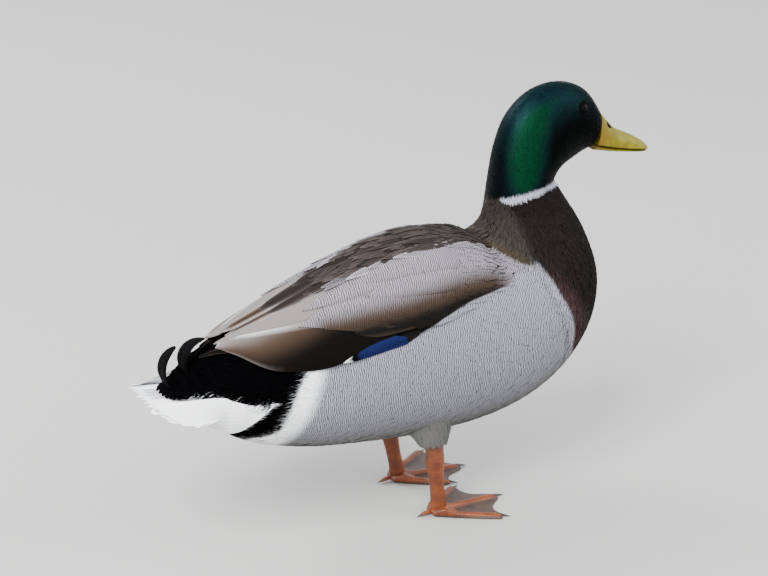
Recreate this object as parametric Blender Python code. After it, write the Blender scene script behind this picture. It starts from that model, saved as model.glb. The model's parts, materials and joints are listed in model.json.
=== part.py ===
"""A drake mallard standing on both feet, life size, as a museum model.

Metres, +Z up. The bird faces +X and its left is +Y. Its body is one long loft from the tail root
to the face, cut across into nodes. The folded wings, tail fan, curled tail feathers, eyes and
thighs sit in pockets of that loft. The model is still: nothing is jointed.
The origin ends up under the middle of the bird's box, at floor level.
"""
import math
from collections import namedtuple

import bmesh
import bpy
from mathutils import Matrix, Vector

# ---- driving dimensions, metres -------------------------------------------------------------
GAP = 0.0003                 # space between neighbouring pieces
RING_POINTS = 28             # points round one section of the body
STEPS_PER_STATION = 2        # sections from one station to the next
# Each foot's joint: how far ahead and how far out it stands.
FOOT_PLACE = {"left": (0.0015, 0.0310), "right": (0.0030, 0.0355)}
ANKLE_HEIGHT = 0.048         # centre of the ankle above the floor
THIGH_END_HEIGHT = 0.0610    # where the leg's feathers end
TOE_LENGTHS = {"inner": 0.041, "middle": 0.054, "outer": 0.049}
# Directions of each foot's toes, in degrees from straight ahead towards the other foot.
TOE_TURNS = {
    "left": {"inner": 32.0, "middle": 3.0, "outer": -36.0},
    "right": {"inner": 39.0, "middle": 3.0, "outer": -30.0},
}
WEB_THICKNESS = 0.0012
EYE_RADIUS = 0.0056
TAIL_LENGTH = 0.0870
TAIL_FEATHERS = 18
CLAW_LENGTH = 0.0066

SIDES = ((1, "left"), (-1, "right"))

# Each station is a section across the body: where it meets the back line and the belly line,
# its half width, and how far up from the belly line it is widest, from 0 to 1.
Station = namedtuple("Station", "name back_x back_z belly_x belly_z half_width widest")
BODY = [
    Station("tail_root", -0.2080, 0.1450, -0.1980, 0.1280, 0.0130, 0.45),
    Station("coverts", -0.1870, 0.1580, -0.1780, 0.1050, 0.0320, 0.45),
    Station("vent", -0.1570, 0.1700, -0.1470, 0.0860, 0.0460, 0.45),
    Station("rump", -0.1100, 0.1880, -0.1060, 0.0740, 0.0580, 0.46),
    Station("loin", -0.0560, 0.2090, -0.0580, 0.0670, 0.0640, 0.47),
    Station("midback", -0.0050, 0.2210, -0.0060, 0.0630, 0.0670, 0.48),
    Station("mantle", 0.0320, 0.2200, 0.0440, 0.0650, 0.0660, 0.49),
    Station("shoulder", 0.0510, 0.2160, 0.0860, 0.0750, 0.0630, 0.50),
    Station("low_breast", 0.0570, 0.2180, 0.1230, 0.0960, 0.0580, 0.50),
    Station("breast", 0.0600, 0.2210, 0.1490, 0.1280, 0.0510, 0.50),
    Station("crop", 0.0615, 0.2250, 0.1575, 0.1670, 0.0430, 0.52),
    Station("neck_base", 0.0620, 0.2310, 0.1455, 0.2080, 0.0340, 0.52),
    Station("collar", 0.0635, 0.2420, 0.1195, 0.2515, 0.0270, 0.50),
    Station("throat", 0.0660, 0.2630, 0.1200, 0.2590, 0.0250, 0.50),
    Station("nape", 0.0700, 0.2860, 0.1265, 0.2645, 0.0240, 0.48),
    Station("occiput", 0.0795, 0.3090, 0.1345, 0.2675, 0.0230, 0.46),
    Station("cheek", 0.0985, 0.3255, 0.1410, 0.2700, 0.0215, 0.45),
    Station("crown", 0.1235, 0.3298, 0.1460, 0.2715, 0.0195, 0.46),
    Station("brow", 0.1458, 0.3210, 0.1500, 0.2725, 0.0163, 0.46),
    Station("face", 0.1610, 0.3000, 0.1540, 0.2730, 0.0115, 0.46),
]
STATION_INDEX = {station.name: number for number, station in enumerate(BODY)}

# Nodes of the body loft, each from one station to the next named one.
BODY_NODES = [
    ("rump", "tail_root", "rump", "plumage_black"),
    ("trunk", "rump", "shoulder", "plumage_grey"),
    ("breast", "shoulder", "crop", "plumage_chestnut"),
    ("neck", "crop", "collar", "plumage_chestnut"),
    ("head", "collar", "face", "plumage_green"),
]

# Base colour, roughness and metallic value of each finish.
FINISHES = {
    "plumage_green": ((0.01, 0.10, 0.05), 0.35, 0.3),
    "plumage_chestnut": ((0.06, 0.03, 0.025), 0.7, 0.0),
    "plumage_grey": ((0.52, 0.50, 0.49), 0.8, 0.0),
    "plumage_brown": ((0.20, 0.15, 0.12), 0.7, 0.0),
    "plumage_black": ((0.012, 0.012, 0.014), 0.6, 0.0),
    "plumage_white": ((0.85, 0.85, 0.85), 0.8, 0.0),
    "bill_yellow": ((0.60, 0.50, 0.08), 0.4, 0.0),
    "leg_orange": ((0.72, 0.22, 0.04), 0.5, 0.0),
    "claw_black": ((0.03, 0.025, 0.02), 0.4, 0.0),
    "eye_dark": ((0.015, 0.010, 0.008), 0.08, 0.0),
}


# ---- small helpers ---------------------------------------------------------------------------
def clear_scene():
    for obj in list(bpy.data.objects):
        bpy.data.objects.remove(obj)


def finish(name):
    """The named material, made the first time it is asked for."""
    if name in bpy.data.materials:
        return bpy.data.materials[name]
    colour, roughness, metallic = FINISHES[name]
    material = bpy.data.materials.new(name)
    material.use_nodes = True
    shader = material.node_tree.nodes["Principled BSDF"]
    shader.inputs["Base Color"].default_value = (*colour, 1.0)
    shader.inputs["Roughness"].default_value = roughness
    shader.inputs["Metallic"].default_value = metallic
    return material


def add_object(name, points, faces, material):
    """A smooth-shaded mesh object, with its faces turned outwards."""
    mesh = bpy.data.meshes.new(name)
    mesh.from_pydata([tuple(p) for p in points], [], faces)
    shape = bmesh.new()
    shape.from_mesh(mesh)
    bmesh.ops.recalc_face_normals(shape, faces=shape.faces)
    bmesh.ops.triangulate(shape, faces=shape.faces)
    shape.to_mesh(mesh)
    shape.free()
    mesh.materials.append(finish(material))
    mesh.shade_smooth()
    mesh.set_sharp_from_angle(angle=math.radians(50))
    obj = bpy.data.objects.new(name, mesh)
    bpy.context.scene.collection.objects.link(obj)
    return obj


def loft(name, rings, material):
    """A closed solid through rings of equal point counts, with a flat cap at each end."""
    count = len(rings[0])
    points = [p for ring in rings for p in ring]
    faces = []
    for r in range(len(rings) - 1):
        for i in range(count):
            a, b = r * count + i, r * count + (i + 1) % count
            faces.append((a, b, b + count, a + count))
    faces.append(tuple(range(count - 1, -1, -1)))
    last = (len(rings) - 1) * count
    faces.append(tuple(last + i for i in range(count)))
    return add_object(name, points, faces, material)


def two_sided(name, upper, lower, material):
    """A closed plate from two grids of points with the same outline: its top and its underside."""
    rows, columns = len(upper), len(upper[0])
    points = [p for row in upper for p in row] + [p for row in lower for p in row]
    under = rows * columns
    faces = []
    for r in range(rows - 1):
        for c in range(columns - 1):
            a = r * columns + c
            quad = (a, a + 1, a + 1 + columns, a + columns)
            faces.append(quad)
            faces.append(tuple(under + q for q in reversed(quad)))
    edge = [c for c in range(columns)]
    edge += [r * columns + columns - 1 for r in range(1, rows)]
    edge += [(rows - 1) * columns + c for c in range(columns - 2, -1, -1)]
    edge += [r * columns for r in range(rows - 2, 0, -1)]
    for a, b in zip(edge, edge[1:] + edge[:1]):
        faces.append((b, a, under + a, under + b))
    return add_object(name, points, faces, material)


def pocket(body, piece, gap=GAP):
    """Cuts piece, grown by the gap, out of body."""
    shape = bmesh.new()
    shape.from_mesh(piece.data)
    shape.normal_update()
    grown = [v.co + v.normal * gap * min(v.calc_shell_factor(), 2.0) for v in shape.verts]
    for vertex, place in zip(shape.verts, grown):
        vertex.co = place
    mesh = bpy.data.meshes.new(f"{piece.name}_pocket")
    shape.to_mesh(mesh)
    shape.free()
    cutter = bpy.data.objects.new(f"{piece.name}_pocket", mesh)
    bpy.context.scene.collection.objects.link(cutter)
    cutter.matrix_world = piece.matrix_world
    cutter.hide_render = True
    cutter.display_type = "WIRE"
    cut = body.modifiers.new(f"pocket_{piece.name}", "BOOLEAN")
    cut.operation = "DIFFERENCE"
    cut.solver = "EXACT"
    cut.object = cutter


def smooth_step(value):
    value = min(1.0, max(0.0, value))
    return value * value * (3 - 2 * value)


def through(values, t):
    """A smooth curve through evenly spaced values, read at t from 0 to the last one's number."""
    last = len(values) - 1
    i = min(int(t), last - 1)
    u = t - i
    before, here = values[max(i - 1, 0)], values[i]
    there, after = values[i + 1], values[min(i + 2, last)]
    slope_here, slope_there = (there - before) / 2, (after - here) / 2
    return (
        here * (2 * u**3 - 3 * u**2 + 1)
        + slope_here * (u**3 - 2 * u**2 + u)
        + there * (3 * u**2 - 2 * u**3)
        + slope_there * (u**3 - u**2)
    )


# ---- the body loft ---------------------------------------------------------------------------
def section(t):
    """Back point, belly point, half width and widest share of the section at station number t."""
    back = Vector((through([s.back_x for s in BODY], t), 0, through([s.back_z for s in BODY], t)))
    belly = Vector((through([s.belly_x for s in BODY], t), 0, through([s.belly_z for s in BODY], t)))
    half_width = through([s.half_width for s in BODY], t)
    widest = through([s.widest for s in BODY], t)
    return back, belly, half_width, widest


def body_point(t, angle):
    """A point on the body: angle 0 is the back, 90 degrees the bird's left, 180 the belly."""
    back, belly, half_width, widest = section(t)
    up = math.cos(angle)
    share = widest + (1 - widest) * up if up > 0 else widest + widest * up
    point = belly + (back - belly) * share
    point.y = half_width * math.sin(angle)
    return point


def body_normal(t, angle):
    """The outward direction of the body's surface."""
    step = 1e-3
    low_t, high_t = max(t - step, 0), min(t + step, len(BODY) - 1)
    along = body_point(high_t, angle) - body_point(low_t, angle)
    around = body_point(t, angle + step) - body_point(t, angle - step)
    return along.cross(around).normalized()


def body_ring(t, shift=0.0):
    """The ring of the section at t, moved by shift along the body, square to its own plane."""
    back, belly, _, _ = section(t)
    square = (back - belly).cross(Vector((0, 1, 0))).normalized()
    turn = math.tau / RING_POINTS
    return [body_point(t, i * turn) + square * shift for i in range(RING_POINTS)]


def make_body():
    nodes = {}
    for name, first, last, material in BODY_NODES:
        start, end = STATION_INDEX[first], STATION_INDEX[last]
        steps = (end - start) * STEPS_PER_STATION
        rings = [body_ring(start + (end - start) * i / steps) for i in range(steps + 1)]
        rings[0] = body_ring(start, -GAP / 2)
        rings[-1] = body_ring(end, GAP / 2)
        nodes[name] = loft(name, rings, material)
    return nodes


# ---- wings -----------------------------------------------------------------------------------
# A folded wing lies on the body from the shoulder to the tips of the tertials. Along its length,
# front to tip: station number, upper and lower edge in degrees from the back line, how far it
# stands out in the middle and how far at its edges.
WingRow = namedtuple("WingRow", "station upper lower proud edge_proud")
WING = [
    WingRow(7.35, 31.0, 43.0, 0.0006, 0.0004),
    WingRow(6.50, 11.0, 50.0, 0.0030, 0.0006),
    WingRow(5.40, 7.0, 57.0, 0.0048, 0.0010),
    WingRow(4.40, 6.0, 65.0, 0.0058, 0.0016),
    WingRow(3.50, 5.0, 67.0, 0.0064, 0.0024),
    WingRow(2.70, 4.5, 58.0, 0.0066, 0.0036),
    WingRow(2.10, 4.5, 38.0, 0.0068, 0.0050),
    WingRow(1.62, 5.0, 14.0, 0.0070, 0.0062),
]
WING_DEPTH = 0.0035          # how far a wing sinks into the body
WING_SPLIT = 4.0             # row where the coverts end and the tertials begin


def wing_grid(side, first, last, rows, columns):
    """Outer and inner grids of points of a wing between two row numbers."""
    outer, inner = [], []
    for r in range(rows + 1):
        at = first + (last - first) * r / rows
        t, upper, lower, proud, edge = (through([row[i] for row in WING], at) for i in range(5))
        outer.append([])
        inner.append([])
        for c in range(columns + 1):
            across = c / columns
            angle = math.radians(upper + (lower - upper) * across) * side
            arch = 4 * across * (1 - across)
            lift = edge + (proud - edge) * arch**0.5
            place, normal = body_point(t, angle), body_normal(t, angle)
            sunk = WING_DEPTH * (0.35 + 0.65 * arch**0.5)
            outer[-1].append(place + normal * lift)
            inner[-1].append(place - normal * sunk)
    return outer, inner


def make_wings(bodies):
    last_row = len(WING) - 1
    half_gap = GAP / 0.050 / 2
    spans = {"wing": (0, WING_SPLIT - half_gap, 8), "tertials": (WING_SPLIT + half_gap, last_row, 6)}
    finishes = {"wing": "plumage_grey", "tertials": "plumage_brown"}
    for side, word in SIDES:
        for part, (first, last, rows) in spans.items():
            outer, inner = wing_grid(side, first, last, rows, 6)
            piece = two_sided(f"{part}_{word}", outer, inner, finishes[part])
            for node in ("rump", "trunk") if part == "tertials" else ("trunk", "breast"):
                pocket(bodies[node], piece)


# ---- tail ------------------------------------------------------------------------------------
TAIL_ROOT = Vector((-0.150, 0.0, 0.126))
TAIL_RISE = 0.0125           # how much higher the middle of the tail's tip is than its root
TAIL_ROOT_HALF = 0.026       # half the fan's width at its root
TAIL_SPREAD = 15.0           # degrees that the outermost feather turns out
TAIL_DROOP = 0.020           # how far the fan's sides hang below its middle
TAIL_HALF = 0.042
TAIL_OUTER_SHORT = 0.38      # how much shorter the outermost feather is, as a share
TAIL_ROWS = (0.0, 0.5, 0.93, 1.0)


def tail_point(across, along, lift):
    """A point on the fan: across from -1 to 1, along from 0 at the root to 1 at the feather's tip."""
    feather = (across + 1) / 2 * TAIL_FEATHERS
    notch = 1 - abs(feather - math.floor(feather) - 0.5) * 2
    reach = TAIL_LENGTH * (1 - TAIL_OUTER_SHORT * abs(across) ** 3)
    distance = along * reach - 0.0045 * (1 - notch) * (along == 1.0)
    turn = math.radians(TAIL_SPREAD * across)
    x = TAIL_ROOT.x - distance * math.cos(turn)
    y = TAIL_ROOT_HALF * across + distance * math.sin(turn)
    z = TAIL_ROOT.z + TAIL_RISE * along - TAIL_DROOP * (abs(y) / TAIL_HALF) ** 3.5
    return Vector((x, y, z + lift))


def make_tail(bodies):
    columns = TAIL_FEATHERS * 2
    upper, under = [], []
    for along in TAIL_ROWS:
        half = 0.0016 - 0.0011 * along
        upper.append([tail_point(2 * c / columns - 1, along, half) for c in range(columns + 1)])
        under.append([tail_point(2 * c / columns - 1, along, -half) for c in range(columns + 1)])
    tail = two_sided("tail", upper, under, "plumage_white")
    pocket(bodies["rump"], tail)


# Each pair of curled feathers: the centre of its curl, its radius, and where the curl starts and
# ends, in degrees about that centre from the bird's front, turning up and over from behind.
Curl = namedtuple("Curl", "name centre_x centre_z radius start end")
CURLS = [
    Curl("curl_outer", -0.1945, 0.1540, 0.0192, 232.0, 80.0),
    Curl("curl_inner", -0.1815, 0.1580, 0.0160, 216.0, 62.0),
]
CURL_WIDTH = 0.0086
CURL_THICKNESS = 0.0011


def make_curls(bodies):
    steps = 8
    for curl in CURLS:
        for side, word in SIDES:
            outer, inner = [], []
            for i in range(steps + 1):
                along = i / steps
                turn = math.radians(curl.start + (curl.end - curl.start) * along)
                direction = Vector((math.cos(turn), 0, math.sin(turn)))
                hub = Vector((curl.centre_x, 0, curl.centre_z))
                half = CURL_WIDTH / 2 * (1 - 0.75 * along**4)
                outer.append([])
                inner.append([])
                for across in (-1.0, 1.0):
                    y = side * (CURL_WIDTH / 2 + GAP / 2 + half * across)
                    middle = hub + direction * curl.radius + Vector((0, y, 0))
                    outer[-1].append(middle + direction * CURL_THICKNESS / 2)
                    inner[-1].append(middle - direction * CURL_THICKNESS / 2)
            piece = two_sided(f"{curl.name}_{word}", outer, inner, "plumage_black")
            pocket(bodies["rump"], piece)


# ---- head ------------------------------------------------------------------------------------
EYE_STATION = 17.42
EYE_ANGLE = 62.5             # degrees from the crown's middle line
EYE_PROUD = 0.0016           # how far the eye stands out of the head


def make_eyes(bodies):
    for side, word in SIDES:
        angle = side * math.radians(EYE_ANGLE)
        place = body_point(EYE_STATION, angle)
        out = body_normal(EYE_STATION, angle)
        shape = bmesh.new()
        bmesh.ops.create_uvsphere(shape, u_segments=12, v_segments=8, radius=EYE_RADIUS)
        points = [v.co.copy() for v in shape.verts]
        faces = [tuple(v.index for v in f.verts) for f in shape.faces]
        shape.free()
        centre = place - out * (EYE_RADIUS - EYE_PROUD)
        eye = add_object(f"eye_{word}", points, faces, "eye_dark")
        eye.matrix_world = Matrix.Translation(centre) @ out.to_track_quat("Z", "Y").to_matrix().to_4x4()
        pocket(bodies["head"], eye)


# Sections of the bill from its base to its tip: ridge, cutting edge, half width and the depth of
# the lower bill.
BillRow = namedtuple("BillRow", "top_x top_z edge_x edge_z half_width lower_depth")
BILL = [
    BillRow(0.1614, 0.2995, 0.1555, 0.2758, 0.0106, 0.0050),
    BillRow(0.1680, 0.2915, 0.1625, 0.2737, 0.0103, 0.0046),
    BillRow(0.1750, 0.2845, 0.1710, 0.2713, 0.0100, 0.0042),
    BillRow(0.1835, 0.2798, 0.1810, 0.2690, 0.0104, 0.0037),
    BillRow(0.1915, 0.2757, 0.1900, 0.2672, 0.0112, 0.0031),
    BillRow(0.1975, 0.2716, 0.1968, 0.2659, 0.0110, 0.0026),
    BillRow(0.2023, 0.2680, 0.2019, 0.2646, 0.0082, 0.0021),
    BillRow(0.2048, 0.2653, 0.2046, 0.2638, 0.0040, 0.0015),
]
BILL_POINTS = 16
NOSTRIL = Vector((0.1688, 0.0, 0.2868))
NOSTRIL_SIZE = (0.0033, 0.0016)      # half its length and half its height


def bill_ring(at, lower):
    """A section of the upper bill, or of the lower one, at row number at."""
    top_x, top_z, edge_x, edge_z, half, depth = (
        through([row[i] for row in BILL], at) for i in range(6)
    )
    edge = Vector((edge_x, 0, edge_z))
    rise = Vector((top_x, 0, top_z)) - edge
    if lower:
        edge -= rise.normalized() * (depth / 2 + 0.0009)
        rise = rise.normalized() * depth / 2
        half *= 0.84
    flat = 1.0 if lower else 0.0006 / rise.length
    ring = []
    for i in range(BILL_POINTS):
        angle = math.tau * i / BILL_POINTS
        height = math.cos(angle)
        height *= 1.0 if height > 0 else flat
        ring.append(edge + rise * height + Vector((0, half * math.sin(angle), 0)))
    return ring


def make_bill():
    last = len(BILL) - 1
    steps = 9
    upper = loft(
        "bill_upper", [bill_ring(last * i / steps, False) for i in range(steps + 1)], "bill_yellow"
    )
    loft(
        "bill_lower",
        [bill_ring((last - 0.7) * i / steps, True) for i in range(steps + 1)],
        "bill_yellow",
    )
    turn = math.tau / 12
    along, height = NOSTRIL_SIZE
    outline = [
        NOSTRIL + Vector((along * math.cos(i * turn), 0, height * math.sin(i * turn) - 0.5 * along * math.cos(i * turn)))
        for i in range(12)
    ]
    hole = loft(
        "nostril",
        [[p + Vector((0, y, 0)) for p in outline] for y in (-0.02, 0.02)],
        "bill_yellow",
    )
    hole.hide_render = True
    hole.display_type = "WIRE"
    cut = upper.modifiers.new("nostril", "BOOLEAN")
    cut.operation = "DIFFERENCE"
    cut.solver = "EXACT"
    cut.object = hole


# ---- legs ------------------------------------------------------------------------------------
# Sections of the leg: height, place along the bird, half length and half width.
LegRow = namedtuple("LegRow", "height x half_length half_width")
THIGH = [
    LegRow(THIGH_END_HEIGHT, 0.0005, 0.0086, 0.0080),
    LegRow(0.0690, -0.0015, 0.0130, 0.0115),
    LegRow(0.0810, -0.0050, 0.0190, 0.0150),
    LegRow(0.0980, -0.0080, 0.0230, 0.0170),
]
FOOT_TOP = 0.0070            # height of the foot's joint, which the leg stands on
TARSUS = [
    LegRow(FOOT_TOP + GAP, 0.0000, 0.0062, 0.0046),
    LegRow(0.0130, 0.0000, 0.0056, 0.0038),
    LegRow(0.0260, 0.0000, 0.0053, 0.0035),
    LegRow(0.0390, 0.0000, 0.0061, 0.0043),
    LegRow(ANKLE_HEIGHT, 0.0000, 0.0072, 0.0051),
    LegRow(0.0550, 0.0004, 0.0064, 0.0046),
    LegRow(THIGH_END_HEIGHT - GAP, 0.0008, 0.0057, 0.0043),
]
LEAN_BACK = {"left": 0.0095, "right": 0.0040}


def leg_rings(rows, steps, side, word):
    ahead, out = FOOT_PLACE[word]
    turn = math.tau / 10
    rings = []
    for i in range(steps + 1):
        at = (len(rows) - 1) * i / steps
        height, x, half_length, half_width = (
            through([row[k] for row in rows], at) for k in range(4)
        )
        x += ahead - LEAN_BACK[word] * min(height, THIGH_END_HEIGHT) / ANKLE_HEIGHT
        centre = Vector((x, side * out, height))
        rings.append([
            centre + Vector((half_length * math.cos(k * turn), half_width * math.sin(k * turn), 0))
            for k in range(10)
        ])
    return rings


def make_legs(bodies):
    for side, word in SIDES:
        thigh = loft(f"thigh_{word}", leg_rings(THIGH, 5, side, word), "plumage_grey")
        pocket(bodies["trunk"], thigh)
        loft(f"tarsus_{word}", leg_rings(TARSUS, 9, side, word), "leg_orange")


# ---- feet ------------------------------------------------------------------------------------
TOE_HALF_ANGLE = 4.6         # how far a toe reaches to each side of its own line, in degrees
HEEL_BEHIND = 0.0075         # from the foot's joint back to the end of its heel
HEEL_HALF_WIDTH = 0.0050
FOOT_ROWS = (0.0, 0.12, 0.21, 0.31, 0.46, 0.74, 1.0)
WEB_SCALLOP = 0.15           # how far the web's edge is cut back between two toes


def foot_columns(turns):
    """Lines that fan out over a foot: each one's direction, share of a toe's height and reach."""
    columns = []
    names = list(turns)
    for number, name in enumerate(names):
        for offset, height in ((1.0, 0.0), (0.55, 0.8), (0.0, 1.0), (-0.55, 0.8), (-1.0, 0.0)):
            columns.append((turns[name] + offset * TOE_HALF_ANGLE, height, TOE_LENGTHS[name]))
        if number + 1 < len(names):
            start = turns[name] - TOE_HALF_ANGLE
            stop = turns[names[number + 1]] + TOE_HALF_ANGLE
            near, far = TOE_LENGTHS[name], TOE_LENGTHS[names[number + 1]]
            for share in (0.33, 0.67):
                scallop = 1 - WEB_SCALLOP * 4 * share * (1 - share)
                columns.append((start + (stop - start) * share, 0.0, (near + (far - near) * share) * scallop))
    return columns


def on_foot(side, word, ahead, inward, height):
    """A place on a foot, from distances ahead of its joint and towards the other foot."""
    place_ahead, place_out = FOOT_PLACE[word]
    return Vector((place_ahead + ahead, side * (place_out - inward), height))


def foot_point(side, word, column, along, width_share):
    angle, ridge, reach = column
    turn = math.radians(angle)
    distance = along * (reach + HEEL_BEHIND)
    ahead = distance * math.cos(turn) - HEEL_BEHIND
    inward = distance * math.sin(turn) + HEEL_HALF_WIDTH * width_share * (1 - along)
    toe = 0.0050 - 0.0019 * along
    height = WEB_THICKNESS + ridge * (toe - WEB_THICKNESS)
    heel = 1 - smooth_step((distance - HEEL_BEHIND - 0.0045) / 0.0070)
    height += (FOOT_TOP - height) * heel
    rounded = 1 - 0.35 * (1 - smooth_step(distance / 0.003))
    return on_foot(side, word, ahead, inward, height * rounded)


def make_claw(name, root, ahead, length, thick):
    """A curved, pointed claw that starts at root and points ahead, its underside off the floor."""
    steps = 3
    side = ahead.cross(Vector((0, 0, 1))).normalized()
    rings = []
    for i in range(steps + 1):
        along = i / steps
        size = thick * (1 - 0.82 * along)
        drop = (root.z - GAP - thick * 0.18 - 0.0001) * along**1.6
        centre = root + ahead * length * along - Vector((0, 0, drop))
        tilt = math.radians(50 * along)
        up = Vector((0, 0, 1)) * math.cos(tilt) + ahead * math.sin(tilt)
        turn = math.tau / 6
        rings.append([
            centre + side * size * 0.72 * math.cos(k * turn) + up * size * math.sin(k * turn)
            for k in range(6)
        ])
    return loft(name, rings, "claw_black")


def make_feet():
    for side, word in SIDES:
        turns = TOE_TURNS[word]
        columns = foot_columns(turns)
        last = len(columns) - 1
        upper = [
            [foot_point(side, word, column, row, 1 - 2 * c / last) for c, column in enumerate(columns)]
            for row in FOOT_ROWS
        ]
        under = [[Vector((p.x, p.y, 0)) for p in line] for line in upper]
        two_sided(f"foot_{word}", upper, under, "leg_orange")
        for toe, angle in turns.items():
            middle = next(c for c, column in enumerate(columns) if column[:2] == (angle, 1.0))
            tip = foot_point(side, word, columns[middle], 1.0, 1 - 2 * middle / last)
            ahead = Vector((math.cos(math.radians(angle)), -side * math.sin(math.radians(angle)), 0))
            root = Vector((tip.x, tip.y, 0.0019)) + ahead * GAP
            make_claw(f"claw_{toe}_{word}", root, ahead, CLAW_LENGTH, 0.0015)


# The hind toe: distance behind the foot's joint, height of its middle and thickness.
HIND_TOE = [
    (HEEL_BEHIND + GAP, 0.0036, 0.0017),
    (0.0105, 0.0034, 0.0019),
    (0.0135, 0.0029, 0.0017),
    (0.0160, 0.0022, 0.0014),
]


def make_hind_toes():
    for side, word in SIDES:
        rings = []
        turn = math.tau / 6
        for behind, height, thick in HIND_TOE:
            middle = on_foot(side, word, -behind, 0.0, height)
            rings.append([
                middle + Vector((0, thick * math.cos(k * turn), thick * math.sin(k * turn)))
                for k in range(6)
            ])
        loft(f"hind_toe_{word}", rings, "leg_orange")
        behind, height, thick = HIND_TOE[-1]
        root = on_foot(side, word, -behind - GAP, 0.0, height)
        make_claw(f"claw_hind_{word}", root, Vector((-1, 0, 0)), 0.0042, 0.0011)


def centre_on_floor():
    """Moves everything so that the origin is under the middle of the bird's box, at floor level."""
    bpy.context.view_layer.update()
    corners = [
        obj.matrix_world @ Vector(corner)
        for obj in bpy.data.objects
        if not obj.hide_render
        for corner in obj.bound_box
    ]
    low = [min(c[axis] for c in corners) for axis in range(3)]
    high = [max(c[axis] for c in corners) for axis in range(3)]
    shift = Vector((-(low[0] + high[0]) / 2, -(low[1] + high[1]) / 2, -low[2]))
    for obj in bpy.data.objects:
        obj.location = obj.location + shift


def main():
    clear_scene()
    bodies = make_body()
    make_wings(bodies)
    make_tail(bodies)
    make_curls(bodies)
    make_eyes(bodies)
    make_bill()
    make_legs(bodies)
    make_feet()
    make_hind_toes()
    centre_on_floor()


main()
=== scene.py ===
"""Dresses the standing drake mallard: one skin, a coat of mesh feathers, wings, tail, bill, eyes, legs.

Metres, +Z up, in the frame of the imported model. The bird faces +X and its left is +Y. A place on
the body is a station number t, from 0 at the tail root to 19 at the bill, and an angle round the
body: 0 along the back, 90 degrees on the bird's left, -90 on its right and 180 along the belly.
"""

import json
import math

import bmesh
import bpy
import numpy as np
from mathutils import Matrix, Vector, kdtree

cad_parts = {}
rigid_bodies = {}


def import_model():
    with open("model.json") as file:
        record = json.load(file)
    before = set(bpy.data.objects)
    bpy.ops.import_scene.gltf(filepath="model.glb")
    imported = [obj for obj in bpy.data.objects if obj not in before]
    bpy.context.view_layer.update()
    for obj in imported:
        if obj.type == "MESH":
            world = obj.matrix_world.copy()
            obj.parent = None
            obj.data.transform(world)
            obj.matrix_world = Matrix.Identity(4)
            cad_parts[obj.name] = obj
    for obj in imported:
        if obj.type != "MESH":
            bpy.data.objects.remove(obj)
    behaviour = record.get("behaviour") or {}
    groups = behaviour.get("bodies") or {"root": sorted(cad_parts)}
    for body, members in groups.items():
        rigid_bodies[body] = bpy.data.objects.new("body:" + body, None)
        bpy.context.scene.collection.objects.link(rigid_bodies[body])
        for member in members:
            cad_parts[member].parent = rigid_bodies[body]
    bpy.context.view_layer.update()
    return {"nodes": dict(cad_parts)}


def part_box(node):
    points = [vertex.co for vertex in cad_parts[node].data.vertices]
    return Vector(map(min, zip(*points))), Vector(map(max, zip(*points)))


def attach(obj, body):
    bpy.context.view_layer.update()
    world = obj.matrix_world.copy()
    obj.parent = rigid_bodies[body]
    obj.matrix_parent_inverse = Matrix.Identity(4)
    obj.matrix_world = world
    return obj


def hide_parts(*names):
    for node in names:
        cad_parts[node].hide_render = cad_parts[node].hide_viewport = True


bl_info = {
    "name": "Drake mallard",
    "version": (1, 0, 0),
    "blender": (4, 5, 0),
    "location": "3D View > Sidebar > Mallard",
    "description": "Dresses a life-size drake mallard with skin, feathers, bill, eyes and feet",
    "category": "Object",
}

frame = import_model()
SIDES = ((1, "left"), (-1, "right"))

# The source's lengths start between the feet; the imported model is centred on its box.
SHIFT = np.array([
    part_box("bill_upper")[1].x - 0.2048,
    (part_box("tail")[0].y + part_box("tail")[1].y) / 2,
    0.0,
])

# ---- the body's surface ----------------------------------------------------------------------
# Sections from the tail root to the face: back x and z, belly x and z, half width, and how far
# up from the belly the section is widest.
STATIONS = np.array([
    (-0.2080, 0.1450, -0.1980, 0.1280, 0.0130, 0.45),
    (-0.1870, 0.1580, -0.1780, 0.1050, 0.0320, 0.45),
    (-0.1570, 0.1700, -0.1470, 0.0860, 0.0460, 0.45),
    (-0.1100, 0.1880, -0.1060, 0.0740, 0.0580, 0.46),
    (-0.0560, 0.2090, -0.0580, 0.0670, 0.0640, 0.47),
    (-0.0050, 0.2210, -0.0060, 0.0630, 0.0670, 0.48),
    (0.0320, 0.2200, 0.0440, 0.0650, 0.0660, 0.49),
    (0.0510, 0.2160, 0.0860, 0.0750, 0.0630, 0.50),
    (0.0570, 0.2180, 0.1230, 0.0960, 0.0580, 0.50),
    (0.0600, 0.2210, 0.1490, 0.1280, 0.0510, 0.50),
    (0.0615, 0.2250, 0.1575, 0.1670, 0.0430, 0.52),
    (0.0620, 0.2310, 0.1455, 0.2080, 0.0340, 0.52),
    (0.0635, 0.2420, 0.1195, 0.2515, 0.0270, 0.50),
    (0.0660, 0.2630, 0.1200, 0.2590, 0.0250, 0.50),
    (0.0700, 0.2860, 0.1265, 0.2645, 0.0240, 0.48),
    (0.0795, 0.3090, 0.1345, 0.2675, 0.0230, 0.46),
    (0.0985, 0.3255, 0.1410, 0.2700, 0.0215, 0.45),
    (0.1235, 0.3298, 0.1460, 0.2715, 0.0195, 0.46),
    (0.1458, 0.3210, 0.1500, 0.2725, 0.0163, 0.46),
    (0.1610, 0.3000, 0.1540, 0.2730, 0.0115, 0.46),
])
LAST_STATION = len(STATIONS) - 1

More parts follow.
